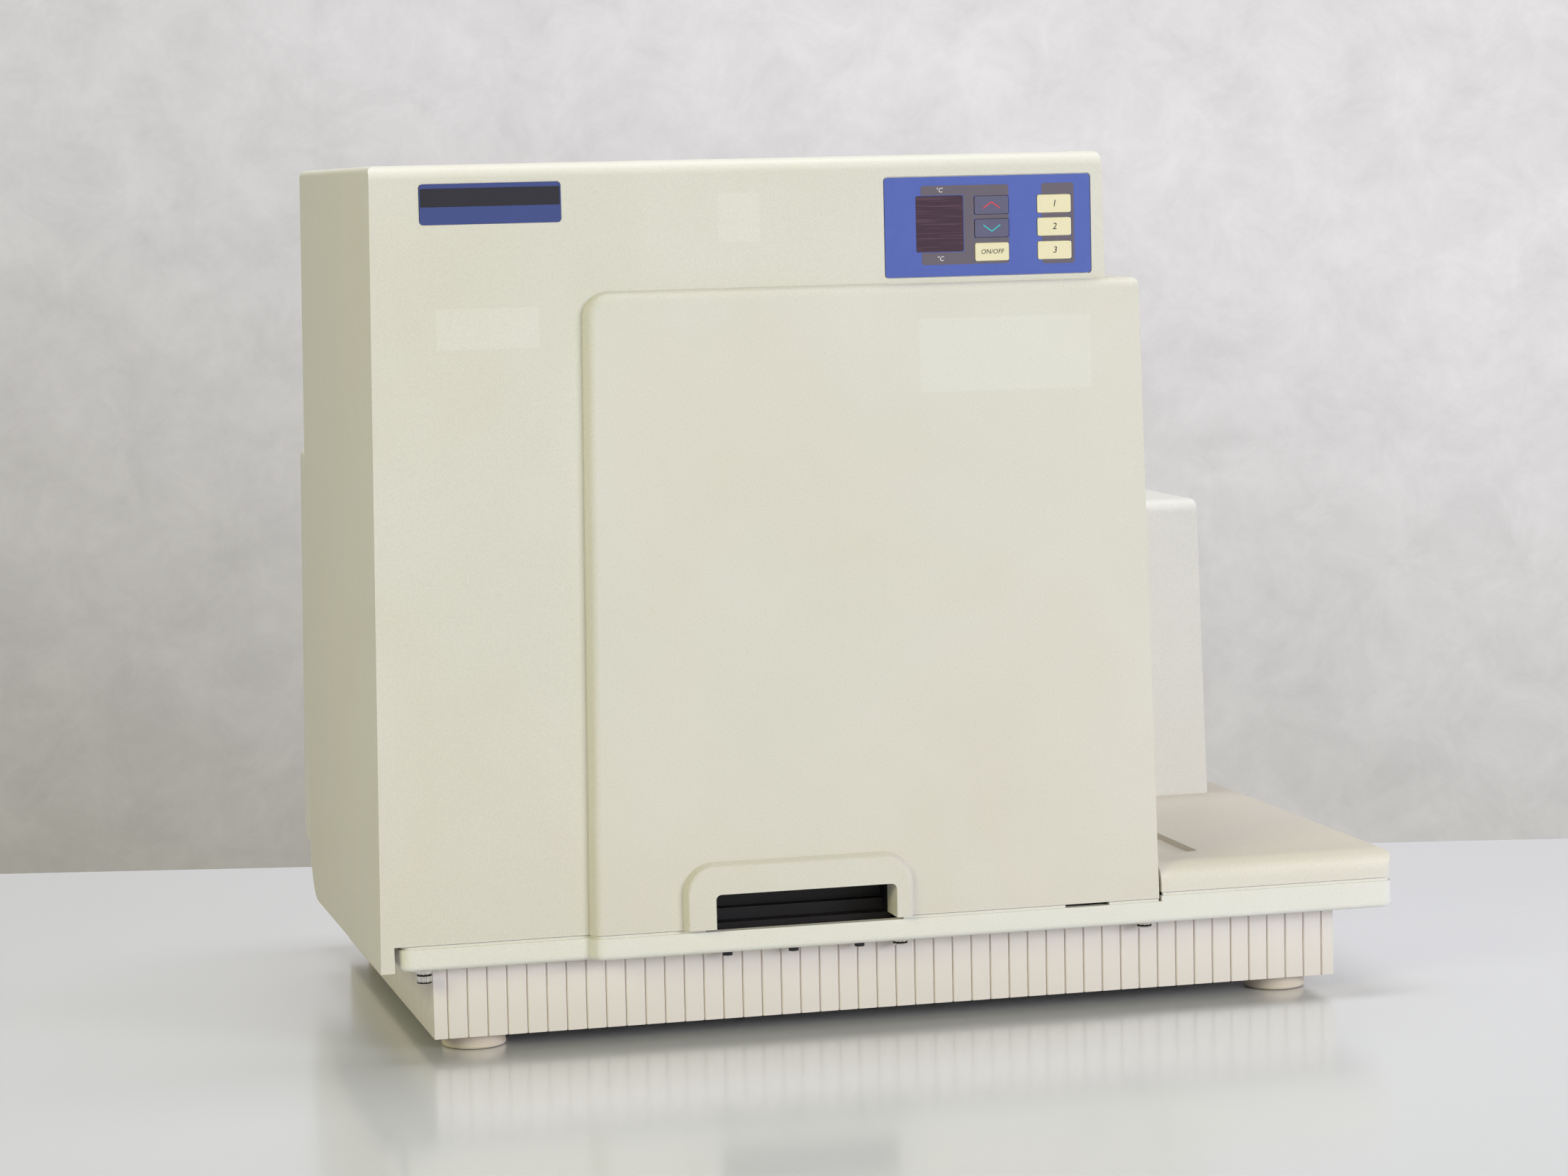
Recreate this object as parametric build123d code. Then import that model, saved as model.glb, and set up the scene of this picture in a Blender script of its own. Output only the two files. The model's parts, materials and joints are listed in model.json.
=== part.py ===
from build123d import *
import math
import os

os.makedirs("parts", exist_ok=True)

# Bench-top microplate reader with a built-in pipettor.
# Millimetres, +Z up, front towards -Y, origin under the middle of the case on the bench.

# ---- case, overall ----
HALF_W = 290.0            # half of the overall width
FRONT_Y = -188.0          # foremost face, the grip surround
REAR_Y = 188.0            # rearmost face, the mains inlet flange
TOWER_TOP = 481.0         # overall height
WALL = 4.0                # structural foam wall
DRAFT = 0.017             # sideways lean of the cover walls, mm per mm

# ---- levels ----
FOOT_H = 8.5              # underside of the skirt
LIP_LOW = 49.0            # underside of the lower housing
LIP_TOP = 61.2            # top of its lip under the tower cover
LIP_TOP_RIGHT = 64.4      # top of its lip under the deck
COVER_LOW = 63.1          # bottom edge of the tower cover
DECK_LOW = 66.4           # bottom edge of the deck cover
DECK_TOP = 82.5           # deck surface
STEP_TOP = TOWER_TOP - 69.5   # top of the wide lower body and its front pad

# ---- planes along the depth ----
FACE_Y = -177.5           # tower front face
PAD = 6.1                 # how far the front pad stands proud of the tower face
PAD_Y = FACE_Y - PAD
BACK_Y = 98.0             # back of the tower cover
CASE_BACK_Y = 184.0       # back of the lower housing and rear covers

# ---- base tray ----
SKIRT_CX = 0.8
SKIRT_HALF_W = HALF_W - 29.6
SKIRT_FRONT_Y = -162.5
SKIRT_BACK_Y = 160.0
RIB_PITCH = 11.0
GROOVE_W = 1.7
GROOVE_D = 1.3
RIB_MARGIN = 5.0
FRONT_GROOVES = int((2 * SKIRT_HALF_W - 2 * RIB_MARGIN) / RIB_PITCH) + 1
SIDE_GROOVES = int((SKIRT_BACK_Y - SKIRT_FRONT_Y - 2 * RIB_MARGIN) / RIB_PITCH) + 1
SKIRT_WALL = 4.0

# ---- feet ----
FOOT_R = 18.0
FOOT_TOP_R = 16.5
FOOT_X = SKIRT_HALF_W - 26.4
FOOT_FRONT_Y = -138.0
FOOT_BACK_Y = 134.0

# ---- lower housing ----
LIP_LEFT_X = 10.6 - HALF_W
LIP_CORNER_R = 6.0
LIP_UNDER_R = 3.5
FLOOR_T = 4.0
UPSTAND_T = 2.0
UPSTAND_TOP = 66.0
REVEAL = 1.2              # seam land, back from the face
SEAM = 0.4                # seam land, below the cover over it
LATCH_X0 = 94.3           # gap in the land in front of the cover latch
LATCH_X1 = 120.1

# ---- front pad ----
PAD_LEFT_X = -176.0
PAD_CORNER_R = 14.0
PAD_TAPER = 22.0
PAD_EDGE_R = 5.6
PAD_FOOT_R = 2.0
STEP_RIGHT_X = 149.2      # right wall of the wide body at its bottom edge
STEP_CORNER_R = 4.0
TOWER_RIGHT_X = STEP_RIGHT_X - 18.2   # right wall of the tower, carried down to the housing
TOWER_CORNER_R = 3.5
TOWER_FRONT_R = 8.5
EDGE_R = 2.5
LEG_GAP_X = LIP_LEFT_X - 3.0    # inner side of the left leg
LEG_CORNER_R = 28.0

# ---- finger grip ----
GRIP_X0 = -106.7
GRIP_X1 = -4.5
GRIP_TOP = 82.2
GRIP_CORNER_R = 3.0
GRIP_DEPTH = 16.0
FRAME_X0 = -124.4
FRAME_X1 = 5.6
FRAME_TOP = 99.8
FRAME_CORNER_R = 17.0
FRAME_TAPER = 28.0
FRAME_EDGE_R = 1.6
FRAME_PROUD = PAD_Y - FRONT_Y
LINER_BACK_Y = -150.0
LINER_WALL = 1.6
LINER_STEP_Y = -158.0
LINER_STEP_Z = 69.5
GRIP_FIT = 0.6

# ---- deck ----
DECK_X0 = STEP_RIGHT_X + 1.6
DECK_FRONT_R = 12.5
DECK_SIDE_R = 6.0
DECK_CORNER_R = 6.0
DECK_WALL = 3.5
DISH_X1 = 185.5           # shallow dish beside the drawer doors
DISH_Y0 = -148.0
DISH_Y1 = -40.0
DISH_DEPTH = 3.4
DISH_R = 4.0
PASSAGE_Y0 = 40.0         # way for the light guide under the deck
PASSAGE_Y1 = 92.0
PASSAGE_TOP = 77.5

# ---- rear covers ----
REAR_LEFT_X = 8.5 - HALF_W      # left wall of the rear housing at its lower end
REAR_LOW = 71.0
REAR_TOP = TOWER_TOP - 168.0
REAR_RIGHT_X = STEP_RIGHT_X - 6.2
OPT_X0 = STEP_RIGHT_X + 2.8
OPT_RIGHT_X = HALF_W - 23.2
OPT_FRONT_Y = 60.5
OPT_TOP = TOWER_TOP - 214.0
OPT_FRONT_R = 7.5
OPT_DRAFT = 0.025
COVER_CORNER_R = 6.0

# ---- control panel ----
PANEL_X0 = -0.7
PANEL_X1 = 116.8
PANEL_Z1 = TOWER_TOP - 12.4
PANEL_Z0 = PANEL_Z1 - 54.3
PANEL_R = 2.0
PANEL_T = 1.0
PANEL_GAP = 0.5
KEY_COL1 = 60.0
KEY_COL2 = 96.0
KEY_ROWS = (PANEL_Z1 - 16.0, PANEL_Z1 - 28.6, PANEL_Z1 - 41.5)
KEY_W = 19.4
KEY_H = 9.8
KEY_R = 1.0
KEY_GAP = 0.3
KEY_PROUD = 0.5
KEY_FLANGE = 1.2
KEY_TRAVEL = 0.6
LCD_X = 30.4
LCD_Z = PANEL_Z1 - 25.6
LCD_W = 27.0
LCD_H = 30.6
LENS_T = 1.2
BOARD_T = 1.6

# ---- badge ----
BADGE_X0 = 33.7 - HALF_W
BADGE_X1 = BADGE_X0 + 76.3
BADGE_Z1 = TOWER_TOP - 10.2
BADGE_Z0 = BADGE_Z1 - 21.5
BADGE_R = 2.2
BADGE_T = 0.9
BADGE_SUNK = 0.5

# ---- fixings under the lip ----
FIX_Y = -170.0
FIX_XS = (LIP_LEFT_X + 14.0, 1.7, 144.8)
FIX_SUNK = (0.0, 3.2, 3.2)    # the left one hangs unscrewed
FIX_BOSS_R = 6.0
FIX_BOSS_TOP = 57.0
FIX_FLUTES = 12
FIX_FLUTE_R = 0.6
FIX_HEAD_R = 4.1
FIX_HEAD_H = 6.0
FIX_SHANK_R = 2.0
FIX_RING_R = 5.0
FIX_RING_T = 1.2
PLUG_XS = (-97.0, -59.5, -21.8)
PLUG_R = 2.8
PLUG_H = 3.5

# ---- chassis and drawers ----
PLATE_T = 6.0
CHASSIS_Z = LIP_LOW + FLOOR_T
CHASSIS_TOP = CHASSIS_Z + PLATE_T
CHASSIS_X = HALF_W - 22.0
CHASSIS_Y0 = -163.0
CHASSIS_Y1 = 172.0
FRAME_T = 6.0
LEFT_FRAME_X = -164.0
RIGHT_FRAME_X = 128.0
CAGE_Y0 = -160.0
CAGE_Y1 = -12.0
CAGE_TOP = TOWER_TOP - 161.0
DRAWER_Y = -94.0          # middle of the drawers
TRAY_HALF_W = 52.0
TRAY_LOW_Z = DECK_TOP + 5.5
TRAY_SHARES = (0.0, 72.0 / 232.0, 148.0 / 232.0)   # of the room up to the cage top
TRAY_ZS = tuple(TRAY_LOW_Z + share * (CAGE_TOP - TRAY_LOW_Z) for share in TRAY_SHARES)
TRAY_TS = (9.0, 12.0, 14.0)
POCKET_DEPTHS = (5.0, 7.0, 8.0)
PLATE_L = 127.76          # microplate footprint
PLATE_W = 85.48
PLATE_FIT = 0.4
PLATE_X = 62.5
TRAY_X0 = -12.0
TRAY_X1 = 138.6
ARM_X0 = -150.0
ARM_W = 8.0
WINDOW_L = 112.0
WINDOW_W = 72.0
DRAWER_TRAVEL = 140.0
RAIL_H = 6.0
TONGUE_W = 3.0
TONGUE_H = 3.0
SLIDE_FIT = 0.3
SCREW_R = 3.0
SCREW_Y = -33.0
SCREW_UP = 4.6            # screw axis above the tray underside
RUN_FIT = 0.05
NUT_L = 14.0
DOOR_Y0 = -152.0
DOOR_Y1 = -36.0
DOOR_DROPS = (4.0, 10.0, 10.0)      # below the tray underside
DOOR_RISES = (20.0, 46.0, 66.0)     # above it
DOOR_ZS = tuple((z - d, z + u) for z, d, u in zip(TRAY_ZS, DOOR_DROPS, DOOR_RISES))
DOOR_GAP = 0.6
MOTOR_W = 42.0
MOTOR_L = 40.0
MOTOR_R = 4.0

# ---- pipettor ----
HEAD_X = 62.5
BRIDGE_Y0 = -28.0
BACKPLATE_Y = -22.0
BACKPLATE_T = 6.0
BACKPLATE_HALF_W = 42.5
BRACKET_LOW = 8.0
BRACKET_HIGH_Z = TOWER_TOP - 53.0
BRACKET_HIGH = 6.0
GUIDE_Y = -36.0
GUIDE_R = 4.0
GUIDE_DX = 27.5
BRACKET_Y0 = -44.0
CARRIAGE_Z0 = TOWER_TOP - 87.0
CARRIAGE_H = 30.0
HEAD_HALF_W = 22.0
HEAD_Y0 = -142.0
HEAD_BASE_Z = TOWER_TOP - 111.0
HEAD_BASE_H = 22.0
HEAD_TOP_Z = HEAD_BASE_Z + 50.0
HEAD_TOP_H = 6.0
CHANNELS = 8
CHANNEL_PITCH = 9.0
BARREL_R = 3.0
BARREL_TIP_R = 2.0
BARREL_L = 30.0
PLUNGER_R = 1.0
PLUNGER_BORE_R = 1.3
BAR_Z = HEAD_TOP_Z - 15.0
BAR_T = 6.0
BAR_HALF_W = 12.0
PLUNGER_LOW = HEAD_BASE_Z + 13.0
STUD_R = 2.5
ACTUATOR_R = 11.0
ACTUATOR_H = 24.0


# ------------------------------------------------------------------ helpers
def block(x0, x1, y0, y1, z0, z1):
    size = Box(x1 - x0, y1 - y0, z1 - z0)
    return Pos((x0 + x1) / 2, (y0 + y1) / 2, (z0 + z1) / 2) * size


def rod_x(x0, x1, y, z, r):
    return Pos((x0 + x1) / 2, y, z) * Rot(0, 90, 0) * Cylinder(r, x1 - x0)


def rod_y(x, y0, y1, z, r):
    return Pos(x, (y0 + y1) / 2, z) * Rot(90, 0, 0) * Cylinder(r, y1 - y0)


def rod_z(x, y, z0, z1, r):
    return Pos(x, y, (z0 + z1) / 2) * Cylinder(r, z1 - z0)


def outline(points, radii):
    """Closed outline with a tangent arc of its own radius at each corner."""
    n = len(points)
    starts = []
    ends = []
    mids = []
    for i in range(n):
        v = Vector(*points[i])
        a = (Vector(*points[i - 1]) - v).normalized()
        b = (Vector(*points[(i + 1) % n]) - v).normalized()
        r = radii[i]
        if r <= 0:
            starts.append(v)
            ends.append(v)
            mids.append(None)
            continue
        half = a.get_angle(b) * math.pi / 360
        reach = r / math.tan(half)
        middle = (a + b).normalized() * (r / math.sin(half) - r)
        starts.append(v + a * reach)
        ends.append(v + b * reach)
        mids.append(v + middle)
    edges = []
    for i in range(n):
        if mids[i] is not None:
            edges.append(Edge.make_three_point_arc(starts[i], mids[i], ends[i]))
        j = (i + 1) % n
        if (starts[j] - ends[i]).length > 1e-6:
            edges.append(Edge.make_line(ends[i], starts[j]))
    return Face(Wire(edges))


def tangent_path(points, radii):
    """Straight runs joined by tangent arcs, level at one height."""
    edges = []
    last = Vector(*points[0])
    for i in range(1, len(points) - 1):
        v = Vector(*points[i])
        a = (Vector(*points[i - 1]) - v).normalized()
        b = (Vector(*points[i + 1]) - v).normalized()
        half = a.get_angle(b) * math.pi / 360
        reach = radii[i - 1] / math.tan(half)
        middle = v + (a + b).normalized() * (radii[i - 1] / math.sin(half) - radii[i - 1])
        edges.append(Edge.make_line(last, v + a * reach))
        edges.append(Edge.make_three_point_arc(v + a * reach, middle, v + b * reach))
        last = v + b * reach
    edges.append(Edge.make_line(last, Vector(*points[-1])))
    return Wire(edges)


def slab(plane, points, radii, thick):
    return extrude(plane * outline(points, radii), amount=thick, dir=plane.z_dir)


def across(points, radii, y0, y1):
    """Outline in X and Z, carried along Y."""
    return slab(Plane.XZ.offset(-y1), points, radii, y1 - y0)


def along(points, radii, x0, x1):
    """Outline in Y and Z, carried along X."""
    return slab(Plane.YZ.offset(x0), points, radii, x1 - x0)


def upright(points, radii, z0, z1):
    """Outline in X and Y, carried up."""
    return slab(Plane.XY.offset(z0), points, radii, z1 - z0)


def rectangle(a0, a1, b0, b1):
    return [(a0, b0), (a1, b0), (a1, b1), (a0, b1)]


def save(shape, node):
    export_step(shape, "parts/" + node + ".step")


# ------------------------------------------------------------------ covers
def tower_left(z):
    return -HALF_W + (z - LIP_LOW) * DRAFT


def tower_right(z):
    return TOWER_RIGHT_X - (z - LIP_LOW) * DRAFT


def step_right(z):
    return STEP_RIGHT_X - (z - COVER_LOW) * DRAFT * 1.18


def tower_body(inset):
    """Tall body, its walls moved in by inset."""
    top = TOWER_TOP - inset
    soft = max(TOWER_CORNER_R - inset, 0)
    front = max(TOWER_FRONT_R - inset, 0)
    shape = [
        (tower_left(LIP_LOW) + inset, LIP_LOW),
        (tower_right(LIP_LOW) - inset, LIP_LOW),
        (tower_right(top) - inset, top),
        (tower_left(top) + inset, top),
    ]
    depth = [(FACE_Y + inset, LIP_LOW), (BACK_Y - inset, LIP_LOW), (BACK_Y - inset, top), (FACE_Y + inset, top)]
    wide = across(shape, [0, 0, soft, soft], FACE_Y + inset, BACK_Y - inset)
    return wide & along(depth, [0, 0, soft, front], -HALF_W, HALF_W)


def step_outline(inset, left):
    top = STEP_TOP - inset
    soft = max(STEP_CORNER_R - inset, 0)
    shape = [(left, LIP_LOW), (step_right(LIP_LOW) - inset, LIP_LOW), (step_right(top) - inset, top), (left, top)]
    return shape, [0, 0, soft, 0]


def step_body(inset):
    """Wide lower body behind the pad."""
    shape, radii = step_outline(inset, 0)
    return across(shape, radii, FACE_Y - 1, BACK_Y - inset)


def pad_body():
    """Pad raised from the front, with a slanted and rounded rim."""
    lean = (STEP_TOP - LIP_LOW) * DRAFT
    low = LIP_LOW - 30
    far = STEP_RIGHT_X + 30
    shape = [(PAD_LEFT_X, low), (far, low), (far, STEP_TOP), (PAD_LEFT_X + lean, STEP_TOP)]
    base = Plane.XZ.offset(-FACE_Y) * outline(shape, [0, 0, 0, PAD_CORNER_R])
    pad = extrude(base, amount=PAD, taper=PAD_TAPER)
    rim = [e for e in pad.edges() if e.center().Y < PAD_Y + 0.01]
    rim = [e for e in rim if e.center().Z > low + 20 and e.center().X < far - 20]
    pad = fillet(rim, PAD_EDGE_R)
    keep, radii = step_outline(0, -HALF_W)
    return pad & across(keep, radii, PAD_Y - 1, FACE_Y)


def pad_hollow(inset):
    lean = (STEP_TOP - LIP_LOW) * DRAFT
    left = PAD_LEFT_X + PAD + inset
    top = STEP_TOP - inset - 2
    shape = [(left, LIP_LOW), (step_right(LIP_LOW) - inset, LIP_LOW), (step_right(top) - inset, top), (left + lean, top)]
    return across(shape, [0, 0, 0, PAD_CORNER_R / 2], PAD_Y + inset, FACE_Y + inset + 2)


def cover_solid():
    return tower_body(0) + step_body(0) + pad_body()


def cover_hollow(inset):
    return tower_body(inset) + step_body(inset) - block(-HALF_W, HALF_W, PAD_Y, FACE_Y + inset, 0, TOWER_TOP) + pad_hollow(inset)


def grip_frame():
    shape = rectangle(FRAME_X0, FRAME_X1, COVER_LOW - 20, FRAME_TOP)
    base = Plane.XZ.offset(-PAD_Y) * outline(shape, [0, 0, FRAME_CORNER_R, FRAME_CORNER_R])
    frame = extrude(base, amount=FRAME_PROUD, taper=FRAME_TAPER)
    rim = [e for e in frame.edges() if e.center().Y < FRONT_Y + 0.01 and e.center().Z > COVER_LOW - 10]
    frame = fillet(rim, FRAME_EDGE_R)
    return frame - block(-HALF_W, HALF_W, FRONT_Y - 1, FACE_Y, 0, COVER_LOW)


def grip_notch(grow, y0, y1):
    shape = rectangle(GRIP_X0 - grow, GRIP_X1 + grow, COVER_LOW - 1, GRIP_TOP + grow)
    return across(shape, [0, 0, GRIP_CORNER_R, GRIP_CORNER_R], y0, y1)


def panel_face(x0, x1, z0, z1, r, y0, y1):
    return across(rectangle(x0, x1, z0, z1), [r, r, r, r], y0, y1)


def door_hole(k, gap):
    low, high = DOOR_ZS[k]
    y0 = DOOR_Y0 + gap
    y1 = DOOR_Y1 - gap
    return along(rectangle(y0, y1, low + gap, high - gap), [3, 3, 3, 3], TRAY_X1 + 0.2, STEP_RIGHT_X + 5)


def guide_passage():
    """Way for the light guide through the side wall, hidden under the deck."""
    return block(RIGHT_FRAME_X + FRAME_T, OPT_X0 + WALL, PASSAGE_Y0, PASSAGE_Y1, LIP_TOP - 2, PASSAGE_TOP)


def tower_cover():
    """The hardest feature: one shelled moulding with drafted walls, the raised pad and the grip."""
    body = cover_solid() - cover_hollow(WALL)
    body = body - block(LEG_GAP_X, HALF_W, FRONT_Y, REAR_Y, LIP_LOW - 1, COVER_LOW)
    body = body - block(REAR_LEFT_X + 2 * WALL, REAR_RIGHT_X - WALL, BACK_Y - WALL - 1, BACK_Y + 1, LIP_LOW - 1, REAR_TOP - 8)
    body = body - guide_passage()
    heel = rectangle(BACK_Y - LEG_CORNER_R, BACK_Y + 1, LIP_LOW - 1, LIP_LOW + LEG_CORNER_R)
    round_heel = rod_x(-HALF_W - 1, LEG_GAP_X + 5, BACK_Y - LEG_CORNER_R, LIP_LOW + LEG_CORNER_R, LEG_CORNER_R)
    body = body - (along(heel, [0, 0, 0, 0], -HALF_W - 1, LEG_GAP_X + 5) - round_heel)
    collar = grip_notch(WALL, PAD_Y + 1, PAD_Y + GRIP_DEPTH)
    collar = collar - block(-HALF_W, HALF_W, PAD_Y, FACE_Y + 20, 0, COVER_LOW)
    body = body + collar + grip_frame() - grip_notch(0, FRONT_Y - 1, PAD_Y + GRIP_DEPTH + 1)
    for k in range(len(DOOR_ZS)):
        body = body - door_hole(k, 0)
    pocket = panel_face(PANEL_X0 - PANEL_GAP, PANEL_X1 + PANEL_GAP, PANEL_Z0 - PANEL_GAP, PANEL_Z1 + PANEL_GAP,
                        PANEL_R, FACE_Y - 1, FACE_Y + PANEL_T)
    window = panel_face(LCD_X - 20, KEY_COL2 + 15, PANEL_Z0 + 4, PANEL_Z1 - 4, 2, FACE_Y, FACE_Y + WALL + 1)
    badge = panel_face(BADGE_X0 - 0.2, BADGE_X1 + 0.2, BADGE_Z0 - 0.2, BADGE_Z1 + 0.2, BADGE_R, FACE_Y - 1,
                       FACE_Y + BADGE_SUNK)
    body = body - pocket - window - badge
    return body


def lip_plan(inset):
    """Plan of the lower housing, stepped forward under the pad."""
    left = PAD_LEFT_X + (COVER_LOW - LIP_LOW) * DRAFT * 3 + inset
    slant = PAD * math.tan(math.radians(PAD_TAPER))
    points = [
        (LIP_LEFT_X + inset, FACE_Y + inset),
        (left, FACE_Y + inset),
        (left + slant, PAD_Y + inset),
        (HALF_W - inset, PAD_Y + inset),
        (HALF_W - inset, CASE_BACK_Y - inset),
        (LIP_LEFT_X + inset, CASE_BACK_Y - inset),
    ]
    r = max(LIP_CORNER_R - inset, 0.5)
    return points, [r, PAD_FOOT_R, max(PAD_EDGE_R - inset, 0.5), r, r, r]


def seam_land():
    """Light step that closes the seams from behind, left out at the grip and the latch."""
    outer, outer_radii = lip_plan(REVEAL)
    inner, inner_radii = lip_plan(WALL)
    ring = upright(outer, outer_radii, LIP_TOP - 1, DECK_LOW - SEAM)
    ring = ring - upright(inner, inner_radii, LIP_TOP - 2, DECK_LOW)
    low = block(LIP_LEFT_X, STEP_RIGHT_X, FRONT_Y, FACE_Y + 12, LIP_TOP - 1, COVER_LOW - SEAM)
    low = low - block(GRIP_X0 - WALL - 1, GRIP_X1 + WALL + 1, FRONT_Y, 0, LIP_TOP, DECK_LOW)
    low = low - block(LATCH_X0, LATCH_X1, FRONT_Y, 0, LIP_TOP, DECK_LOW)
    high = block(DECK_X0 + 1, HALF_W, FRONT_Y, REAR_Y, LIP_TOP_RIGHT - 1, DECK_LOW - SEAM)
    return ring & (low + high)


def rear_rim():
    """Raised wall that meets the rear housing, and the strip beside the deck."""
    outer, outer_radii = lip_plan(0)
    inner, inner_radii = lip_plan(WALL)
    top = REAR_LOW - 2 * SEAM
    ring = upright(outer, outer_radii, LIP_TOP - 1, top) - upright(inner, inner_radii, LIP_TOP - 2, top + 1)
    ring = ring & block(-HALF_W, REAR_RIGHT_X, BACK_Y + 1, REAR_Y, 0, top)
    return ring + block(REAR_RIGHT_X - WALL, DECK_X0 - 2 * SEAM, BACK_Y + 1, CASE_BACK_Y, LIP_TOP - 1, top)


def lower_housing():
    points, radii = lip_plan(0)
    body = upright(points, radii, LIP_LOW, LIP_TOP)
    under = body.edges().filter_by_position(Axis.Z, LIP_LOW - 0.01, LIP_LOW + 0.01)
    body = fillet(under, LIP_UNDER_R)
    raised = upright(points, radii, LIP_TOP - 1, LIP_TOP_RIGHT)
    body = body + (raised & block(DECK_X0, HALF_W, FRONT_Y, REAR_Y, 0, LIP_TOP_RIGHT))
    points, radii = lip_plan(WALL)
    body = body - upright(points, radii, CHASSIS_Z, LIP_TOP_RIGHT + 1)
    stand = cover_hollow(WALL) - cover_hollow(WALL + UPSTAND_T)
    front = block(LIP_LEFT_X + WALL, DECK_X0 - 12, PAD_Y, FACE_Y + 12, LIP_TOP - 4, UPSTAND_TOP)
    front = front - block(GRIP_X0 - WALL - 1, GRIP_X1 + WALL + 1, PAD_Y, 0, LIP_TOP, UPSTAND_TOP + 1)
    front = front - block(LATCH_X0, LATCH_X1, PAD_Y, 0, LIP_TOP, UPSTAND_TOP + 1)
    body = body + (stand & front) + seam_land() + rear_rim()
    for x, sunk in zip(FIX_XS, FIX_SUNK):
        body = body + rod_z(x, FIX_Y, CHASSIS_Z - 1, FIX_BOSS_TOP, FIX_BOSS_R)
        body = body - rod_z(x, FIX_Y, LIP_LOW - 1, FIX_BOSS_TOP + 1, FIX_SHANK_R + RUN_FIT)
        if sunk:
            body = body - rod_z(x, FIX_Y, LIP_LOW - 1, LIP_LOW + sunk, FIX_RING_R + SEAM)
    for x in PLUG_XS:
        body = body - rod_z(x, FIX_Y, LIP_LOW - 1, LIP_LOW + 2, PLUG_R * 0.6)
    return body


def base_tray():
    """Tray whose skirt is fluted all round."""
    x0 = SKIRT_CX - SKIRT_HALF_W
    x1 = SKIRT_CX + SKIRT_HALF_W
    mid_y = (SKIRT_FRONT_Y + SKIRT_BACK_Y) / 2
    half = GROOVE_W / 2
    points = []
    for i in range(FRONT_GROOVES):
        x = SKIRT_CX + (i - (FRONT_GROOVES - 1) / 2) * RIB_PITCH
        points += [(x - half, SKIRT_FRONT_Y), (x + half * 0.4, SKIRT_FRONT_Y + GROOVE_D), (x + half, SKIRT_FRONT_Y)]
    points.append((x1, SKIRT_FRONT_Y))
    for i in range(SIDE_GROOVES):
        y = mid_y + (i - (SIDE_GROOVES - 1) / 2) * RIB_PITCH
        points += [(x1, y - half), (x1 - GROOVE_D, y), (x1, y + half)]
    points.append((x1, SKIRT_BACK_Y))
    for i in reversed(range(FRONT_GROOVES)):
        x = SKIRT_CX + (i - (FRONT_GROOVES - 1) / 2) * RIB_PITCH
        points += [(x + half, SKIRT_BACK_Y), (x, SKIRT_BACK_Y - GROOVE_D), (x - half, SKIRT_BACK_Y)]
    points.append((x0, SKIRT_BACK_Y))
    for i in reversed(range(SIDE_GROOVES)):
        y = mid_y + (i - (SIDE_GROOVES - 1) / 2) * RIB_PITCH
        points += [(x0, y + half), (x0 + GROOVE_D, y), (x0, y - half)]
    points.append((x0, SKIRT_FRONT_Y))
    skirt = extrude(Plane.XY.offset(FOOT_H) * make_face(Polyline(points, close=True)), amount=LIP_LOW - FOOT_H)
    room = block(x0 + SKIRT_WALL, x1 - SKIRT_WALL, SKIRT_FRONT_Y + SKIRT_WALL, SKIRT_BACK_Y - SKIRT_WALL,
                 FOOT_H + SKIRT_WALL, LIP_LOW + 1)
    tray = skirt - room
    for x in (-FOOT_X, FOOT_X):
        for y in (FOOT_FRONT_Y, FOOT_BACK_Y):
            tray = tray + rod_z(x, y, FOOT_H + 1, LIP_LOW, FOOT_R * 0.4)
    return tray


def feet():
    group = []
    for x in (-FOOT_X, FOOT_X):
        for y in (FOOT_FRONT_Y, FOOT_BACK_Y):
            pad = Pos(x, y, FOOT_H / 2) * Cone(FOOT_R, FOOT_TOP_R, FOOT_H)
            low = pad.edges().filter_by_position(Axis.Z, -0.01, 0.01)
            group.append(fillet(low, 1.5))
    return Compound(children=[Part() + g for g in group])


def deck_cover():
    side = [(FACE_Y - PAD, DECK_LOW), (CASE_BACK_Y, DECK_LOW), (CASE_BACK_Y, DECK_TOP), (FACE_Y - PAD, DECK_TOP)]
    face = [(DECK_X0, DECK_LOW), (HALF_W, DECK_LOW), (HALF_W, DECK_TOP), (DECK_X0, DECK_TOP)]
    plan = rectangle(DECK_X0, HALF_W, PAD_Y, CASE_BACK_Y)
    r = DECK_CORNER_R
    body = along(side, [0, 0, 2, DECK_FRONT_R], DECK_X0, HALF_W)
    body = body & across(face, [0, 0, DECK_SIDE_R, 0], PAD_Y, CASE_BACK_Y) & upright(plan, [0, r, r, 0], 0, 99)
    t = DECK_WALL
    side_in = [(PAD_Y + t, 0), (CASE_BACK_Y - t, 0), (CASE_BACK_Y - t, DECK_TOP - t), (PAD_Y + t, DECK_TOP - t)]
    inner = along(side_in, [0, 0, 0, DECK_FRONT_R - t], DECK_X0 + t, HALF_W - t)
    dish_under = block(DECK_X0, DISH_X1 + t, DISH_Y0 - t, DISH_Y1 + t, DECK_TOP - DISH_DEPTH - t, DECK_TOP)
    body = body - (inner - dish_under)
    dish = rectangle(DECK_X0 - 9, DISH_X1, DISH_Y0, DISH_Y1)
    body = body - upright(dish, [0, DISH_R, DISH_R, 0], DECK_TOP - DISH_DEPTH, DECK_TOP + 1)
    body = body - block(OPT_X0 + 8, OPT_RIGHT_X - 12, OPT_FRONT_Y + 8, CASE_BACK_Y - 10, DECK_TOP - 9, DECK_TOP + 1)
    foot = block(HALF_W - 9, HALF_W - WALL - 0.3, PAD_Y + 30, CASE_BACK_Y - 30, CHASSIS_Z, DECK_TOP - 2)
    return body + foot - guide_passage()


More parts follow.
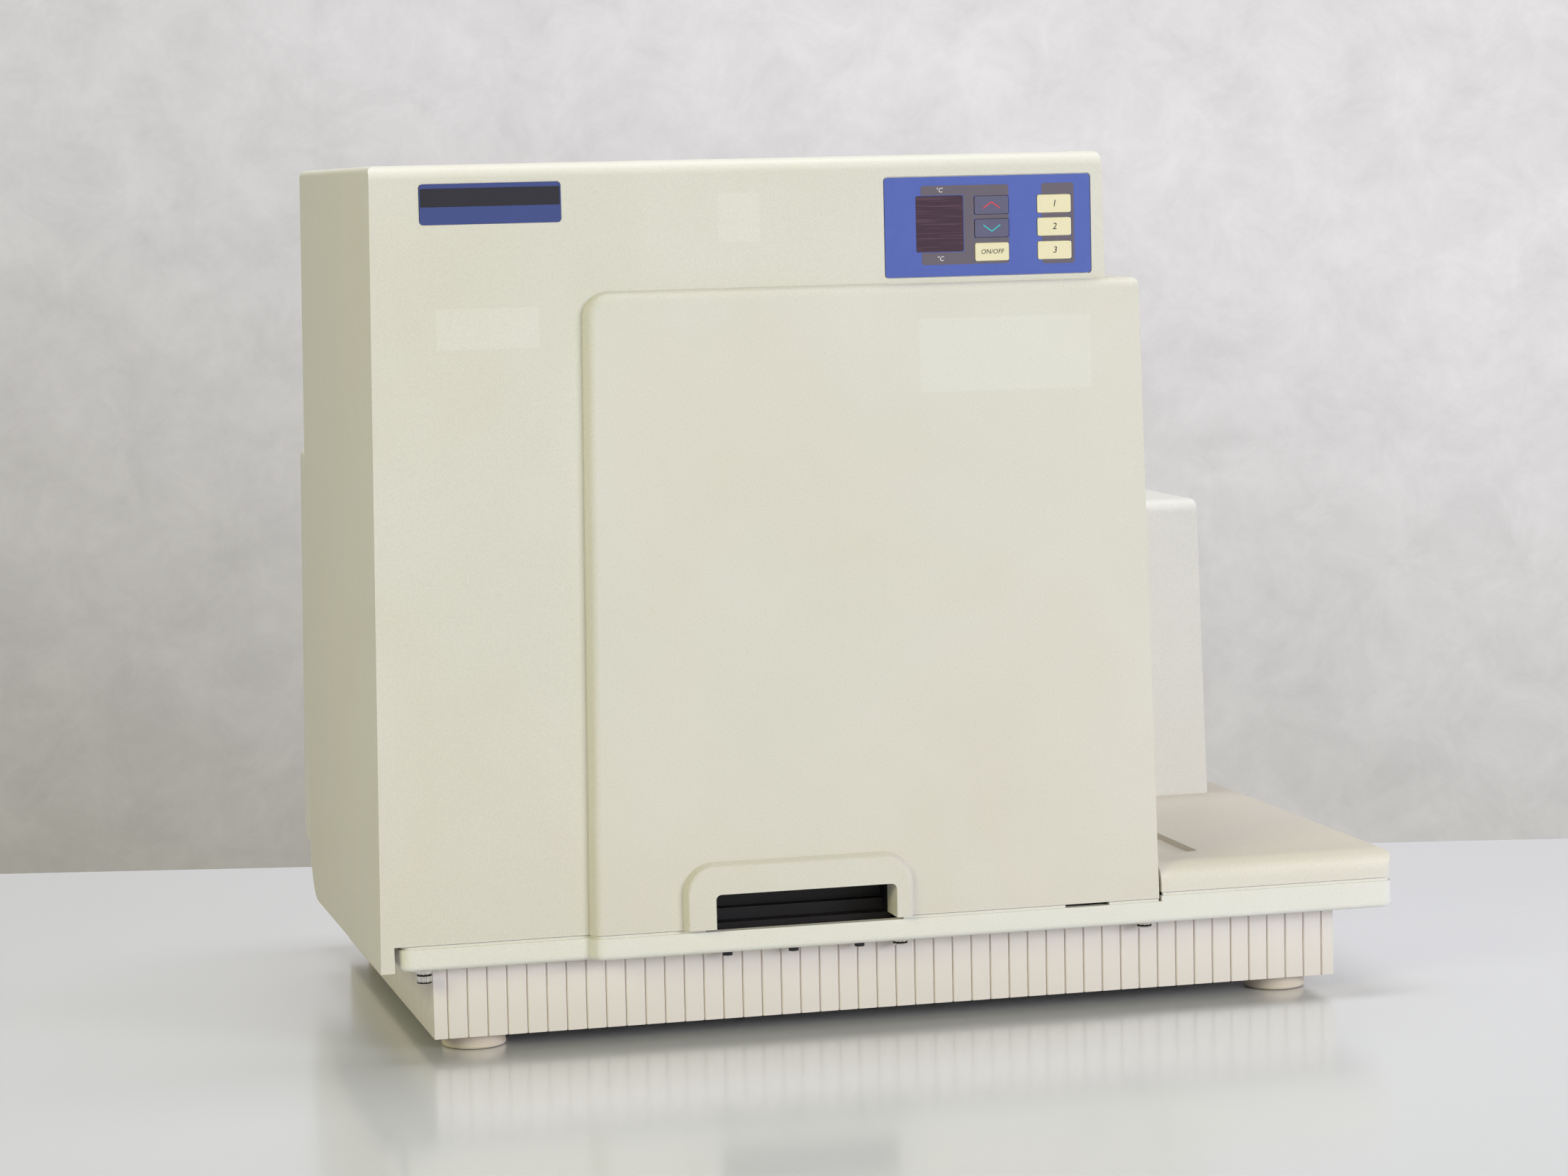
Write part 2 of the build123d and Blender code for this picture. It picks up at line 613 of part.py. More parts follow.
def drafted_box(x0, x1, y0, y1, z0, z1, lean, r_top, r_front, inset):
    """Cover with a leaning outer side; inset moves every wall in."""
    a = [(x0[0] + inset, z0), (x1[0] - inset, z0), (x1[1] - inset, z1 - inset), (x0[1] + inset, z1 - inset)]
    b = rectangle(y0 + inset, y1 - inset, z0, z1 - inset)
    soft = max(r_top - inset, 0.2)
    front = max(r_front - inset, 0.2)
    body = across(a, [0, 0, soft, soft], y0 + inset, y1 - inset)
    return body & along(b, [0, 0, soft, front], -HALF_W, HALF_W)


def rear_housing():
    lean = (REAR_TOP - REAR_LOW) * DRAFT * 1.2
    x0 = (REAR_LEFT_X, REAR_LEFT_X + lean)
    x1 = (REAR_RIGHT_X, REAR_RIGHT_X)
    front = BACK_Y - WALL
    body = drafted_box(x0, x1, front, CASE_BACK_Y, REAR_LOW, REAR_TOP, lean, COVER_CORNER_R, 0, 0)
    room = drafted_box(x0, x1, front, CASE_BACK_Y, REAR_LOW, REAR_TOP, lean, COVER_CORNER_R, 0, WALL)
    body = body - room - block(x0[1] + WALL, REAR_RIGHT_X - WALL, front - 1, front + WALL + 1, REAR_LOW - 1, REAR_TOP - WALL)
    shell = cover_solid() + cover_hollow(WALL)
    body = body - shell
    window = panel_face(PANEL_BACK_X0 + 8, PANEL_BACK_X1 - 8, PANEL_BACK_Z0 + 8, PANEL_BACK_Z1 - 8, 3, CASE_BACK_Y - WALL - 1,
                        CASE_BACK_Y + 1)
    body = body - window
    leg_x = LIP_LEFT_X + WALL
    leg_back = CASE_BACK_Y - WALL - LIP_CORNER_R / 2
    legs = block(leg_x, leg_x + WALL, BACK_Y + 2, leg_back, CHASSIS_Z, REAR_LOW + 20)
    legs = legs + block(x0[0] + 1, leg_x + WALL, BACK_Y + 2, leg_back, REAR_LOW, REAR_LOW + 20)
    legs = legs + block(REAR_RIGHT_X - 2 * WALL, REAR_RIGHT_X - WALL, BACK_Y + 2, CASE_BACK_Y - WALL, CHASSIS_TOP, REAR_LOW + 20)
    return body + legs


def optics_cover():
    lean = (OPT_TOP - DECK_TOP) * OPT_DRAFT
    x0 = (OPT_X0, OPT_X0)
    x1 = (OPT_RIGHT_X, OPT_RIGHT_X - lean)
    body = drafted_box(x0, x1, OPT_FRONT_Y, CASE_BACK_Y, DECK_TOP, OPT_TOP, lean, TOWER_CORNER_R, OPT_FRONT_R, 0)
    room = drafted_box(x0, x1, OPT_FRONT_Y, CASE_BACK_Y, DECK_TOP - 1, OPT_TOP, lean, TOWER_CORNER_R, OPT_FRONT_R, WALL)
    body = body - room
    for i in range(VENT_COUNT):
        x = OPT_X0 + VENT_START + i * VENT_PITCH
        body = body - panel_face(x, x + VENT_W, OPT_TOP - VENT_H - 25, OPT_TOP - 25, 1.2, CASE_BACK_Y - WALL - 1, REAR_Y)
    return body


# ---- rear panel sizes ----
PANEL_BACK_X0 = -262.0
PANEL_BACK_X1 = 128.0
PANEL_BACK_Z0 = 84.0
PANEL_BACK_Z1 = 300.0
PANEL_BACK_T = 2.0
VENT_COUNT = 10
VENT_START = 16.0
VENT_PITCH = 8.5
VENT_W = 3.0
VENT_H = 60.0
FAN_X = -180.0
FAN_Z = 240.0
FAN_W = 80.0
FAN_DEPTH = 25.0
FAN_R = 38.0
FAN_HUB_R = 17.0
FAN_BLADES = 7
FAN_TIP_R = 36.0
INLET_X = 84.0
INLET_Z = 108.0
INLET_W = 50.0
INLET_H = 27.0
INLET_CUT_W = 28.0
INLET_CUT_H = 20.0
INLET_DEPTH = 32.0
FUSE_Z = 130.0
FUSE_H = 12.0
SWITCH_Z = 154.0
SWITCH_W = 15.0
SWITCH_H = 21.0
SWITCH_GAP = 1.3
PIVOT_R = 1.2
PIVOT_Y = REAR_Y - 7.0
PORT_XS = (-60.0, -16.0)
PORT_Z = 108.0
PORT_W = 31.0
PORT_H = 12.6


def rear_panel():
    plate = panel_face(PANEL_BACK_X0, PANEL_BACK_X1, PANEL_BACK_Z0, PANEL_BACK_Z1, 4, CASE_BACK_Y, CASE_BACK_Y + PANEL_BACK_T)
    y0 = CASE_BACK_Y - 1
    for i in range(9):
        x = FAN_X + (i - 4) * 8
        tall = math.sqrt(max(FAN_R ** 2 - ((i - 4) * 8) ** 2, 1)) - 3
        plate = plate - panel_face(x - 2, x + 2, FAN_Z - tall, FAN_Z + tall, 1.9, y0, REAR_Y)
    half_w = INLET_W / 2 - 3
    plate = plate - panel_face(INLET_X - half_w, INLET_X + half_w, INLET_Z - INLET_H / 2 + 3, SWITCH_Z + SWITCH_H / 2 + 2, 2,
                               y0, REAR_Y)
    for x in PORT_XS:
        plate = plate - panel_face(x - PORT_W / 3, x + PORT_W / 3, PORT_Z - PORT_H / 3, PORT_Z + PORT_H / 3, 2, y0, REAR_Y)
    return plate


def power_inlet():
    """Inlet with room for the fuse drawer and the switch above its socket."""
    top = SWITCH_Z + SWITCH_H / 2 + 5
    low = INLET_Z - INLET_H / 2
    flange = panel_face(INLET_X - INLET_W / 2, INLET_X + INLET_W / 2, low, top, 2, CASE_BACK_Y + PANEL_BACK_T, REAR_Y)
    half_w = INLET_W / 2 - 4
    body = block(INLET_X - half_w, INLET_X + half_w, CASE_BACK_Y - INLET_DEPTH, CASE_BACK_Y + PANEL_BACK_T, low + 4, top - 4)
    inlet = flange + body
    mouth = [(INLET_X - 12, INLET_Z - 8), (INLET_X + 12, INLET_Z - 8), (INLET_X + 12, INLET_Z + 4), (INLET_X + 8, INLET_Z + 8),
             (INLET_X - 8, INLET_Z + 8), (INLET_X - 12, INLET_Z + 4)]
    inlet = inlet - across(mouth, [1, 1, 1, 1, 1, 1], REAR_Y - 17, REAR_Y + 1)
    for dx, dz in ((-7, 0), (0, 3), (7, 0)):
        inlet = inlet + block(INLET_X + dx - 1, INLET_X + dx + 1, REAR_Y - 18, REAR_Y - 3, INLET_Z + dz - 2.5, INLET_Z + dz + 2)
    lid = panel_face(INLET_X - 14, INLET_X + 14, FUSE_Z - FUSE_H / 2, FUSE_Z + FUSE_H / 2, 1, REAR_Y - 0.8, REAR_Y + 1)
    tab = panel_face(INLET_X - 13, INLET_X + 13, FUSE_Z - FUSE_H / 2 + 1, FUSE_Z + FUSE_H / 2 - 1, 1, REAR_Y - 0.9, REAR_Y)
    inlet = inlet - (lid - tab)
    inlet = inlet - block(INLET_X - SWITCH_H / 2, INLET_X + SWITCH_H / 2, REAR_Y - 20, REAR_Y + 1, SWITCH_Z - SWITCH_W / 2,
                          SWITCH_Z + SWITCH_W / 2)
    half = SWITCH_W / 2 + 1
    return inlet + rod_z(INLET_X, PIVOT_Y, SWITCH_Z - half, SWITCH_Z + half, PIVOT_R)


def rocker_switch():
    half = SWITCH_H / 2 - SWITCH_GAP
    y = PIVOT_Y
    shape = [(INLET_X - half, -8.0), (INLET_X + half, -8.0), (INLET_X + half, 4.6), (INLET_X, 3.4), (INLET_X - half, 6.4)]
    plane = Plane.XY.offset(SWITCH_Z - SWITCH_W / 2 + 0.5)
    low = [(x, y + max(min(v, 6.8), -4.5)) for x, v in shape]
    rocker = extrude(plane * outline(low, [3, 3, 0.6, 6, 0.6]), amount=SWITCH_W - 1)
    half = SWITCH_W / 2 + 1
    return rocker - rod_z(INLET_X, PIVOT_Y, SWITCH_Z - half, SWITCH_Z + half, PIVOT_R + RUN_FIT)


def serial_ports():
    group = []
    for x in PORT_XS:
        flange = panel_face(x - PORT_W / 2, x + PORT_W / 2, PORT_Z - PORT_H / 2, PORT_Z + PORT_H / 2, 1.5,
                            CASE_BACK_Y + PANEL_BACK_T, CASE_BACK_Y + PANEL_BACK_T + 0.8)
        shell = [(x - 8, PORT_Z + 4), (x - 7, PORT_Z - 4), (x + 7, PORT_Z - 4), (x + 8, PORT_Z + 4)]
        shape = across(shell, [1.5, 1.5, 1.5, 1.5], CASE_BACK_Y - 8, REAR_Y)
        group.append(flange + shape)
    return Compound(children=group)


def fan_frame():
    y0 = CASE_BACK_Y - FAN_DEPTH
    half = FAN_W / 2
    frame = panel_face(FAN_X - half, FAN_X + half, FAN_Z - half, FAN_Z + half, 4, y0, CASE_BACK_Y)
    frame = frame - rod_y(FAN_X, y0 - 1, CASE_BACK_Y + 1, FAN_Z, FAN_R)
    frame = frame + rod_y(FAN_X, y0, y0 + 2, FAN_Z, FAN_HUB_R)
    for i in range(3):
        arm = Pos(FAN_X, y0 + 1, FAN_Z) * Rot(0, 120 * i + 30, 0) * Pos(FAN_R / 2, 0, 0) * Box(FAN_R + 2, 2, 4)
        frame = frame + arm
    return frame + rod_y(FAN_X, y0, y0 + 12, FAN_Z, 2)


def fan_rotor():
    y0 = CASE_BACK_Y - FAN_DEPTH + 2.5
    y1 = CASE_BACK_Y - 2
    rotor = rod_y(FAN_X, y0, y1, FAN_Z, FAN_HUB_R)
    for i in range(FAN_BLADES):
        blade = Pos((FAN_TIP_R + FAN_HUB_R - 4) / 2, 0, 0) * Rot(38, 0, 0) * Box(FAN_TIP_R - FAN_HUB_R + 2, 1.6, 19)
        turn = Rot(0, 360 / FAN_BLADES * i, 0)
        rotor = rotor + Pos(FAN_X, (y0 + y1) / 2, FAN_Z) * turn * blade
    return rotor - rod_y(FAN_X, y0 - 1, y0 + 11, FAN_Z, 2 + RUN_FIT)


def grip_liner():
    x0 = GRIP_X0 - LINER_WALL
    x1 = GRIP_X1 + LINER_WALL
    y0 = PAD_Y + GRIP_DEPTH
    body = block(x0, x1, y0, LINER_BACK_Y, CHASSIS_TOP, GRIP_TOP + LINER_WALL)
    room = block(GRIP_X0, GRIP_X1, y0 - 1, LINER_BACK_Y - LINER_WALL, COVER_LOW, GRIP_TOP)
    body = body - room
    step = block(GRIP_X0, GRIP_X1, LINER_STEP_Y, LINER_BACK_Y, CHASSIS_TOP, LINER_STEP_Z)
    return body + step


def panel_overlay():
    film = panel_face(PANEL_X0, PANEL_X1, PANEL_Z0, PANEL_Z1, PANEL_R, FACE_Y, FACE_Y + PANEL_T)
    for x in (KEY_COL1, KEY_COL2):
        for z in KEY_ROWS:
            w = KEY_W / 2 + KEY_GAP
            h = KEY_H / 2 + KEY_GAP
            film = film - panel_face(x - w, x + w, z - h, z + h, KEY_R + KEY_GAP, FACE_Y - 1, FACE_Y + PANEL_T + 1)
    film = film - panel_face(LCD_X - LCD_W / 2, LCD_X + LCD_W / 2, LCD_Z - LCD_H / 2, LCD_Z + LCD_H / 2, 1, FACE_Y - 1,
                             FACE_Y + PANEL_T + 1)
    return film


def key(x, z):
    w = KEY_W / 2
    h = KEY_H / 2
    pad = panel_face(x - w, x + w, z - h, z + h, KEY_R, FACE_Y - KEY_PROUD, FACE_Y + PANEL_T)
    front = pad.edges().filter_by_position(Axis.Y, FACE_Y - KEY_PROUD - 0.01, FACE_Y - KEY_PROUD + 0.01)
    pad = fillet(front, 0.3)
    y1 = FACE_Y + WALL - KEY_TRAVEL - SLIDE_FIT
    return pad + panel_face(x - w - KEY_FLANGE, x + w + KEY_FLANGE, z - h - KEY_FLANGE / 2, z + h + KEY_FLANGE / 2, 1,
                            FACE_Y + PANEL_T, y1)


def display_lens():
    gap = 0.05
    return panel_face(LCD_X - LCD_W / 2 + gap, LCD_X + LCD_W / 2 - gap, LCD_Z - LCD_H / 2 + gap, LCD_Z + LCD_H / 2 - gap, 1,
                      FACE_Y, FACE_Y + LENS_T)


def display_module():
    return block(LCD_X - LCD_W / 2 - 1, LCD_X + LCD_W / 2 + 1, FACE_Y + LENS_T, FACE_Y + WALL, LCD_Z - LCD_H / 2 - 1,
                 LCD_Z + LCD_H / 2 + 1)


def key_board():
    return panel_face(PANEL_X0 + 5, PANEL_X1 - 2, PANEL_Z0, PANEL_Z1 - 1, 2, FACE_Y + WALL, FACE_Y + WALL + BOARD_T)


def badge_plate():
    return panel_face(BADGE_X0, BADGE_X1, BADGE_Z0, BADGE_Z1, BADGE_R, FACE_Y + BADGE_SUNK - BADGE_T, FACE_Y + BADGE_SUNK)


def captive_fixing(x, sunk):
    """Quarter-turn fixing with a knurled head and a spring ring."""
    seat = LIP_LOW + sunk
    z1 = seat - FIX_RING_T
    low = z1 - FIX_HEAD_H
    slot = FIX_FLUTE_R
    head = rod_z(x, FIX_Y, low, z1, FIX_HEAD_R)
    for i in range(FIX_FLUTES):
        a = math.radians(360 / FIX_FLUTES * i)
        flute_x = x + FIX_HEAD_R * math.cos(a)
        flute_y = FIX_Y + FIX_HEAD_R * math.sin(a)
        head = head - rod_z(flute_x, flute_y, low - 1, z1 + 1, FIX_FLUTE_R)
    head = head - block(x - FIX_RING_R, x + FIX_RING_R, FIX_Y - slot, FIX_Y + slot, low - 1, low + 2.5 * slot)
    ring = rod_z(x, FIX_Y, z1 - 0.01, seat, FIX_RING_R)
    return head + ring + rod_z(x, FIX_Y, z1, FIX_BOSS_TOP, FIX_SHANK_R)


def lip_plugs():
    group = []
    for x in PLUG_XS:
        plug = rod_z(x, FIX_Y, LIP_LOW - PLUG_H, LIP_LOW, PLUG_R) + rod_z(x, FIX_Y, LIP_LOW - 1, LIP_LOW + 2, PLUG_R * 0.6)
        group.append(plug)
    return Compound(children=group)


# ------------------------------------------------------------------ chassis and drawers
def chassis_plate():
    plan = rectangle(-CHASSIS_X, CHASSIS_X, CHASSIS_Y0, CHASSIS_Y1)
    return upright(plan, [5, 5, 5, 5], CHASSIS_Z, CHASSIS_TOP)


def rail_levels(k):
    top = TRAY_ZS[k] - SLIDE_FIT
    return top - RAIL_H, top


def cage_plate(x0, windows):
    plate = block(x0, x0 + FRAME_T, CAGE_Y0, CAGE_Y1, CHASSIS_TOP, CAGE_TOP)
    for k in range(len(TRAY_ZS)):
        if windows:
            low = TRAY_ZS[k] - SLIDE_FIT
            high = DOOR_ZS[k][1]
            y0 = DRAWER_Y - TRAY_HALF_W - 2
            y1 = DRAWER_Y + TRAY_HALF_W + 2
            plate = plate - along(rectangle(y0, y1, low, high), [2, 2, 2, 2], x0 - 1, x0 + FRAME_T + 1)
        z = TRAY_ZS[k] + SCREW_UP
        plate = plate - rod_x(x0 - 1, x0 + FRAME_T + 1, SCREW_Y, z, SCREW_R + RUN_FIT)
    return plate


def bridge():
    return block(LEFT_FRAME_X, RIGHT_FRAME_X + FRAME_T, BRIDGE_Y0, CAGE_Y1, CAGE_TOP, CAGE_TOP + FRAME_T)


def rails():
    group = []
    for k in range(len(TRAY_ZS)):
        low, top = rail_levels(k)
        for side in (-1, 1):
            y = DRAWER_Y + side * (TRAY_HALF_W - ARM_W / 2)
            x0 = LEFT_FRAME_X + FRAME_T
            bar = block(x0, RIGHT_FRAME_X, y - ARM_W / 2, y + ARM_W / 2, low, top)
            tongue = block(x0, RIGHT_FRAME_X + FRAME_T, y - TONGUE_W / 2, y + TONGUE_W / 2, top - 1, top + TONGUE_H)
            tongue = tongue - block(RIGHT_FRAME_X, RIGHT_FRAME_X + FRAME_T, y - ARM_W, y + ARM_W, top - 2, top)
            group.append(bar + tongue)
    return Compound(children=group)


def tray(k):
    z0 = TRAY_ZS[k]
    z1 = z0 + TRAY_TS[k]
    y0 = DRAWER_Y - TRAY_HALF_W
    y1 = DRAWER_Y + TRAY_HALF_W
    body = block(TRAY_X0, TRAY_X1, y0, y1, z0, z1)
    half_l = PLATE_L / 2 + PLATE_FIT
    half_w = PLATE_W / 2 + PLATE_FIT
    pocket = upright(rectangle(PLATE_X - half_l, PLATE_X + half_l, DRAWER_Y - half_w, DRAWER_Y + half_w), [2, 2, 2, 2],
                     z1 - POCKET_DEPTHS[k], z1 + 1)
    window = block(PLATE_X - WINDOW_L / 2, PLATE_X + WINDOW_L / 2, DRAWER_Y - WINDOW_W / 2, DRAWER_Y + WINDOW_W / 2, z0 - 1, z1)
    body = body - pocket - window
    body = body + block(ARM_X0, TRAY_X0, y0, y0 + ARM_W, z0, z1) + block(ARM_X0, TRAY_X0, y1 - ARM_W, y1, z0, z1)
    body = body + block(ARM_X0, ARM_X0 + ARM_W, y0, y1, z0, z1)
    nut = block(ARM_X0, ARM_X0 + NUT_L, y1 - 1, SCREW_Y + SCREW_R + 4, z0, z0 + 2 * SCREW_UP)
    body = body + nut - rod_x(ARM_X0 - 1, ARM_X0 + NUT_L + 1, SCREW_Y, z0 + SCREW_UP, SCREW_R + RUN_FIT)
    for side in (-1, 1):
        y = DRAWER_Y + side * (TRAY_HALF_W - ARM_W / 2)
        w = TONGUE_W / 2 + SLIDE_FIT
        body = body - block(ARM_X0 - 1, TRAY_X1 + 1, y - w, y + w, z0 - 1, z0 + TONGUE_H)
    return body


def door(k):
    return door_hole(k, DOOR_GAP) & (step_body(0) - step_body(60)) - block(0, TRAY_X1, FRONT_Y, REAR_Y, 0, TOWER_TOP)


def drive_screw(k):
    z = TRAY_ZS[k] + SCREW_UP
    return rod_x(LEFT_FRAME_X, RIGHT_FRAME_X + FRAME_T - 1, SCREW_Y, z, SCREW_R)


def motor(x, y, z, up):
    half = MOTOR_W / 2
    r = [MOTOR_R, MOTOR_R, MOTOR_R, MOTOR_R]
    if up:
        return upright(rectangle(x - half, x + half, y - half, y + half), r, z, z + MOTOR_L)
    return along(rectangle(y - half, y + half, z - half, z + half), r, x - MOTOR_L, x)


def stepper_motors():
    group = []
    for k in range(len(TRAY_ZS)):
        group.append(motor(LEFT_FRAME_X, SCREW_Y, TRAY_ZS[k] + SCREW_UP, False))
    group.append(motor(HEAD_X, GUIDE_Y, BRACKET_HIGH_Z + BRACKET_HIGH, True))
    return Compound(children=group)


# ------------------------------------------------------------------ pipettor
def pipettor_backplate():
    x0 = HEAD_X - BACKPLATE_HALF_W
    x1 = HEAD_X + BACKPLATE_HALF_W
    low = CAGE_TOP + FRAME_T
    high = BRACKET_HIGH_Z + BRACKET_HIGH
    body = block(x0, x1, BACKPLATE_Y, BACKPLATE_Y + BACKPLATE_T, low, high)
    body = body + block(x0, x1, BRACKET_Y0, BACKPLATE_Y + 1, low, low + BRACKET_LOW)
    body = body + block(x0, x1, BRACKET_Y0, BACKPLATE_Y + 1, BRACKET_HIGH_Z, high)
    for dx in (-GUIDE_DX, GUIDE_DX):
        body = body - rod_z(HEAD_X + dx, GUIDE_Y, low - 1, high + 1, GUIDE_R)
    return body - rod_z(HEAD_X, GUIDE_Y, low - 1, high + 1, SCREW_R + RUN_FIT)


def guide_rods():
    low = CAGE_TOP + FRAME_T
    rods = []
    for dx in (-GUIDE_DX, GUIDE_DX):
        rods.append(rod_z(HEAD_X + dx, GUIDE_Y, low, BRACKET_HIGH_Z + BRACKET_HIGH, GUIDE_R))
    return Compound(children=rods)


def lift_screw():
    return rod_z(HEAD_X, GUIDE_Y, CAGE_TOP + FRAME_T, BRACKET_HIGH_Z + BRACKET_HIGH, SCREW_R)


def head_carriage():
    half = BACKPLATE_HALF_W - 5
    body = block(HEAD_X - half, HEAD_X + half, GUIDE_Y - 9, GUIDE_Y + 9, CARRIAGE_Z0, CARRIAGE_Z0 + CARRIAGE_H)
    for dx in (-GUIDE_DX, GUIDE_DX):
        body = body - rod_z(HEAD_X + dx, GUIDE_Y, CARRIAGE_Z0 - 1, CARRIAGE_Z0 + CARRIAGE_H + 1, GUIDE_R + RUN_FIT)
    return body - rod_z(HEAD_X, GUIDE_Y, CARRIAGE_Z0 - 1, CARRIAGE_Z0 + CARRIAGE_H + 1, SCREW_R + RUN_FIT)


def channel_ys():
    return [DRAWER_Y + (i - (CHANNELS - 1) / 2) * CHANNEL_PITCH for i in range(CHANNELS)]


def pipettor_head():
    x0 = HEAD_X - HEAD_HALF_W
    x1 = HEAD_X + HEAD_HALF_W
    y1 = GUIDE_Y - 9
    top = HEAD_TOP_Z + HEAD_TOP_H
    body = block(x0, x1, HEAD_Y0, y1, HEAD_BASE_Z, HEAD_BASE_Z + HEAD_BASE_H)
    body = body + block(x0, x1, HEAD_Y0, y1, HEAD_TOP_Z, top) + block(x0, x1, y1 - 6, y1, HEAD_BASE_Z, top)
    for y in channel_ys():
        body = body - rod_z(HEAD_X, y, HEAD_BASE_Z + 1.5, HEAD_BASE_Z + HEAD_BASE_H + 1, PLUNGER_BORE_R)
    return body - rod_z(HEAD_X, DRAWER_Y, HEAD_TOP_Z - 1, top + 1, STUD_R + RUN_FIT)


def tip_barrels():
    group = []
    for y in channel_ys():
        barrel = rod_z(HEAD_X, y, HEAD_BASE_Z - BARREL_L / 2, HEAD_BASE_Z, BARREL_R)
        nose = Pos(HEAD_X, y, HEAD_BASE_Z - BARREL_L * 0.75) * Cone(BARREL_TIP_R, BARREL_R, BARREL_L / 2)
        group.append(barrel + nose)
    return Compound(children=group)


def plunger_bar():
    ys = channel_ys()
    bar = block(HEAD_X - BAR_HALF_W, HEAD_X + BAR_HALF_W, ys[0] - BAR_T, ys[-1] + BAR_T, BAR_Z, BAR_Z + BAR_T)
    for y in ys:
        bar = bar + rod_z(HEAD_X, y, PLUNGER_LOW, BAR_Z + 1, PLUNGER_R)
    return bar + rod_z(HEAD_X, DRAWER_Y, BAR_Z, HEAD_TOP_Z + HEAD_TOP_H + ACTUATOR_H - 3, STUD_R)


def plunger_actuator():
    z0 = HEAD_TOP_Z + HEAD_TOP_H
    body = rod_z(HEAD_X, DRAWER_Y, z0, z0 + ACTUATOR_H, ACTUATOR_R)
    return body - rod_z(HEAD_X, DRAWER_Y, z0 - 1, z0 + ACTUATOR_H - 2, STUD_R + RUN_FIT)


# ------------------------------------------------------------------ optics and electronics
BLOCK_X0 = 45.0
BLOCK_X1 = 85.0
BLOCK_Y0 = -128.0
BLOCK_Y1 = -60.0
BLOCK_TOP = 84.0
LENS_R = 7.0
EMI_X0 = -130.0
EMI_X1 = -10.0
EMI_Y0 = 5.0
EMI_Y1 = 80.0
EMI_TOP = 165.0
EXC_X0 = 166.0
EXC_X1 = 250.0
EXC_Y0 = 72.0
EXC_Y1 = 124.0
EXC_TOP = 205.0
LAMP_Y0 = 128.0
LAMP_Y1 = 168.0
LAMP_TOP = 160.0
GUIDE_TUBE_R = 4.0
GUIDE_TUBE_Z = 72.0
BOARD_X = 6.0 - CHASSIS_X
BOARD_Y0 = -150.0
BOARD_Y1 = 60.0
BOARD_TOP = 290.0
# chips, connectors and capacitors: middle along the depth, middle height, length, height, thickness
BOARD_PARTS = (
    (-110, 110, 30, 30, 4),
    (-50, 120, 22, 22, 4),
    (10, 150, 40, 16, 12),
    (-90, 190, 60, 12, 9),
    (-20, 220, 26, 40, 20),
    (-110, 250, 34, 20, 6),
)


def read_block():
    body = block(BLOCK_X0, BLOCK_X1, BLOCK_Y0, BLOCK_Y1, CHASSIS_TOP, BLOCK_TOP)
    return body - rod_z((BLOCK_X0 + BLOCK_X1) / 2, DRAWER_Y, BLOCK_TOP - 3, BLOCK_TOP + 1, LENS_R)


def emission_monochromator():
    r = [6, 6, 6, 6]
    body = upright(rectangle(EMI_X0, EMI_X1, EMI_Y0, EMI_Y1), r, CHASSIS_TOP, EMI_TOP)
    return body + rod_z(EMI_X0 + 35, (EMI_Y0 + EMI_Y1) / 2, EMI_TOP, EMI_TOP + 30, 18)


def detector_tube():
    z = (CHASSIS_TOP + EMI_TOP) / 2
    return rod_x(EMI_X1, EMI_X1 + 80, (EMI_Y0 + EMI_Y1) / 2, z, 20)


def excitation_monochromator():
    body = upright(rectangle(EXC_X0, EXC_X1, EXC_Y0, EXC_Y1), [5, 5, 5, 5], CHASSIS_TOP, EXC_TOP)
    return body + rod_z(EXC_X0 + 30, (EXC_Y0 + EXC_Y1) / 2, EXC_TOP, EXC_TOP + 28, 16)


def lamp_housing():
    body = block(EXC_X0, EXC_X1 - 10, LAMP_Y0, LAMP_Y1, CHASSIS_TOP, LAMP_TOP)
    for i in range(7):
        z = LAMP_TOP - 12 - i * 9
        body = body - block(EXC_X0 - 1, EXC_X1, LAMP_Y1 - 12, LAMP_Y1 + 1, z, z + 5)
    return body + block(EXC_X0 + 25, EXC_X0 + 50, EXC_Y1, LAMP_Y0 + 1, CHASSIS_TOP + 60, CHASSIS_TOP + 85)


def light_guides():
    """Sheathed guides between the read block and the two monochromators."""
    mid = (BLOCK_X0 + BLOCK_X1) / 2
    z = GUIDE_TUBE_Z
    exc_y = EXC_Y0 + 8
    emi_x = EMI_X1 - 30
    runs = (
        [(mid + 8, BLOCK_Y1, z), (mid + 8, exc_y - 60, z), (mid + 55, exc_y, z), (EXC_X0, exc_y, z)],
        [(mid - 8, BLOCK_Y1, z), (mid - 8, BLOCK_Y1 + 35, z), (emi_x, BLOCK_Y1 + 35, z), (emi_x, EMI_Y0, z)],
    )
    bends = ((40, 40), (14, 14))
    tubes = []
    for run, radii in zip(runs, bends):
        path = tangent_path(run, radii)
        ring = Plane(origin=run[0], z_dir=(0, 1, 0)) * Circle(GUIDE_TUBE_R)
        tubes.append(sweep(ring, path=path))
    return Compound(children=tubes)


SUPPLY_X0 = 13.0 - CHASSIS_X
SUPPLY_W = 100.0
SUPPLY_D = 88.0
SUPPLY_H = 58.0
SUPPLY_VENTS = 8
SUPPLY_PITCH = 11.0
SUPPLY_VENT_W = 5.0
SUPPLY_EDGE = 12.0


def power_supply():
    top = CHASSIS_TOP + SUPPLY_H
    body = block(SUPPLY_X0, SUPPLY_X0 + SUPPLY_W, 0, SUPPLY_D, CHASSIS_TOP, top)
    for i in range(SUPPLY_VENTS):
        x = SUPPLY_X0 + SUPPLY_EDGE * 0.75 + i * SUPPLY_PITCH
        body = body - block(x, x + SUPPLY_VENT_W, SUPPLY_EDGE, SUPPLY_D - SUPPLY_EDGE, top - 2, top + 1)
    return body


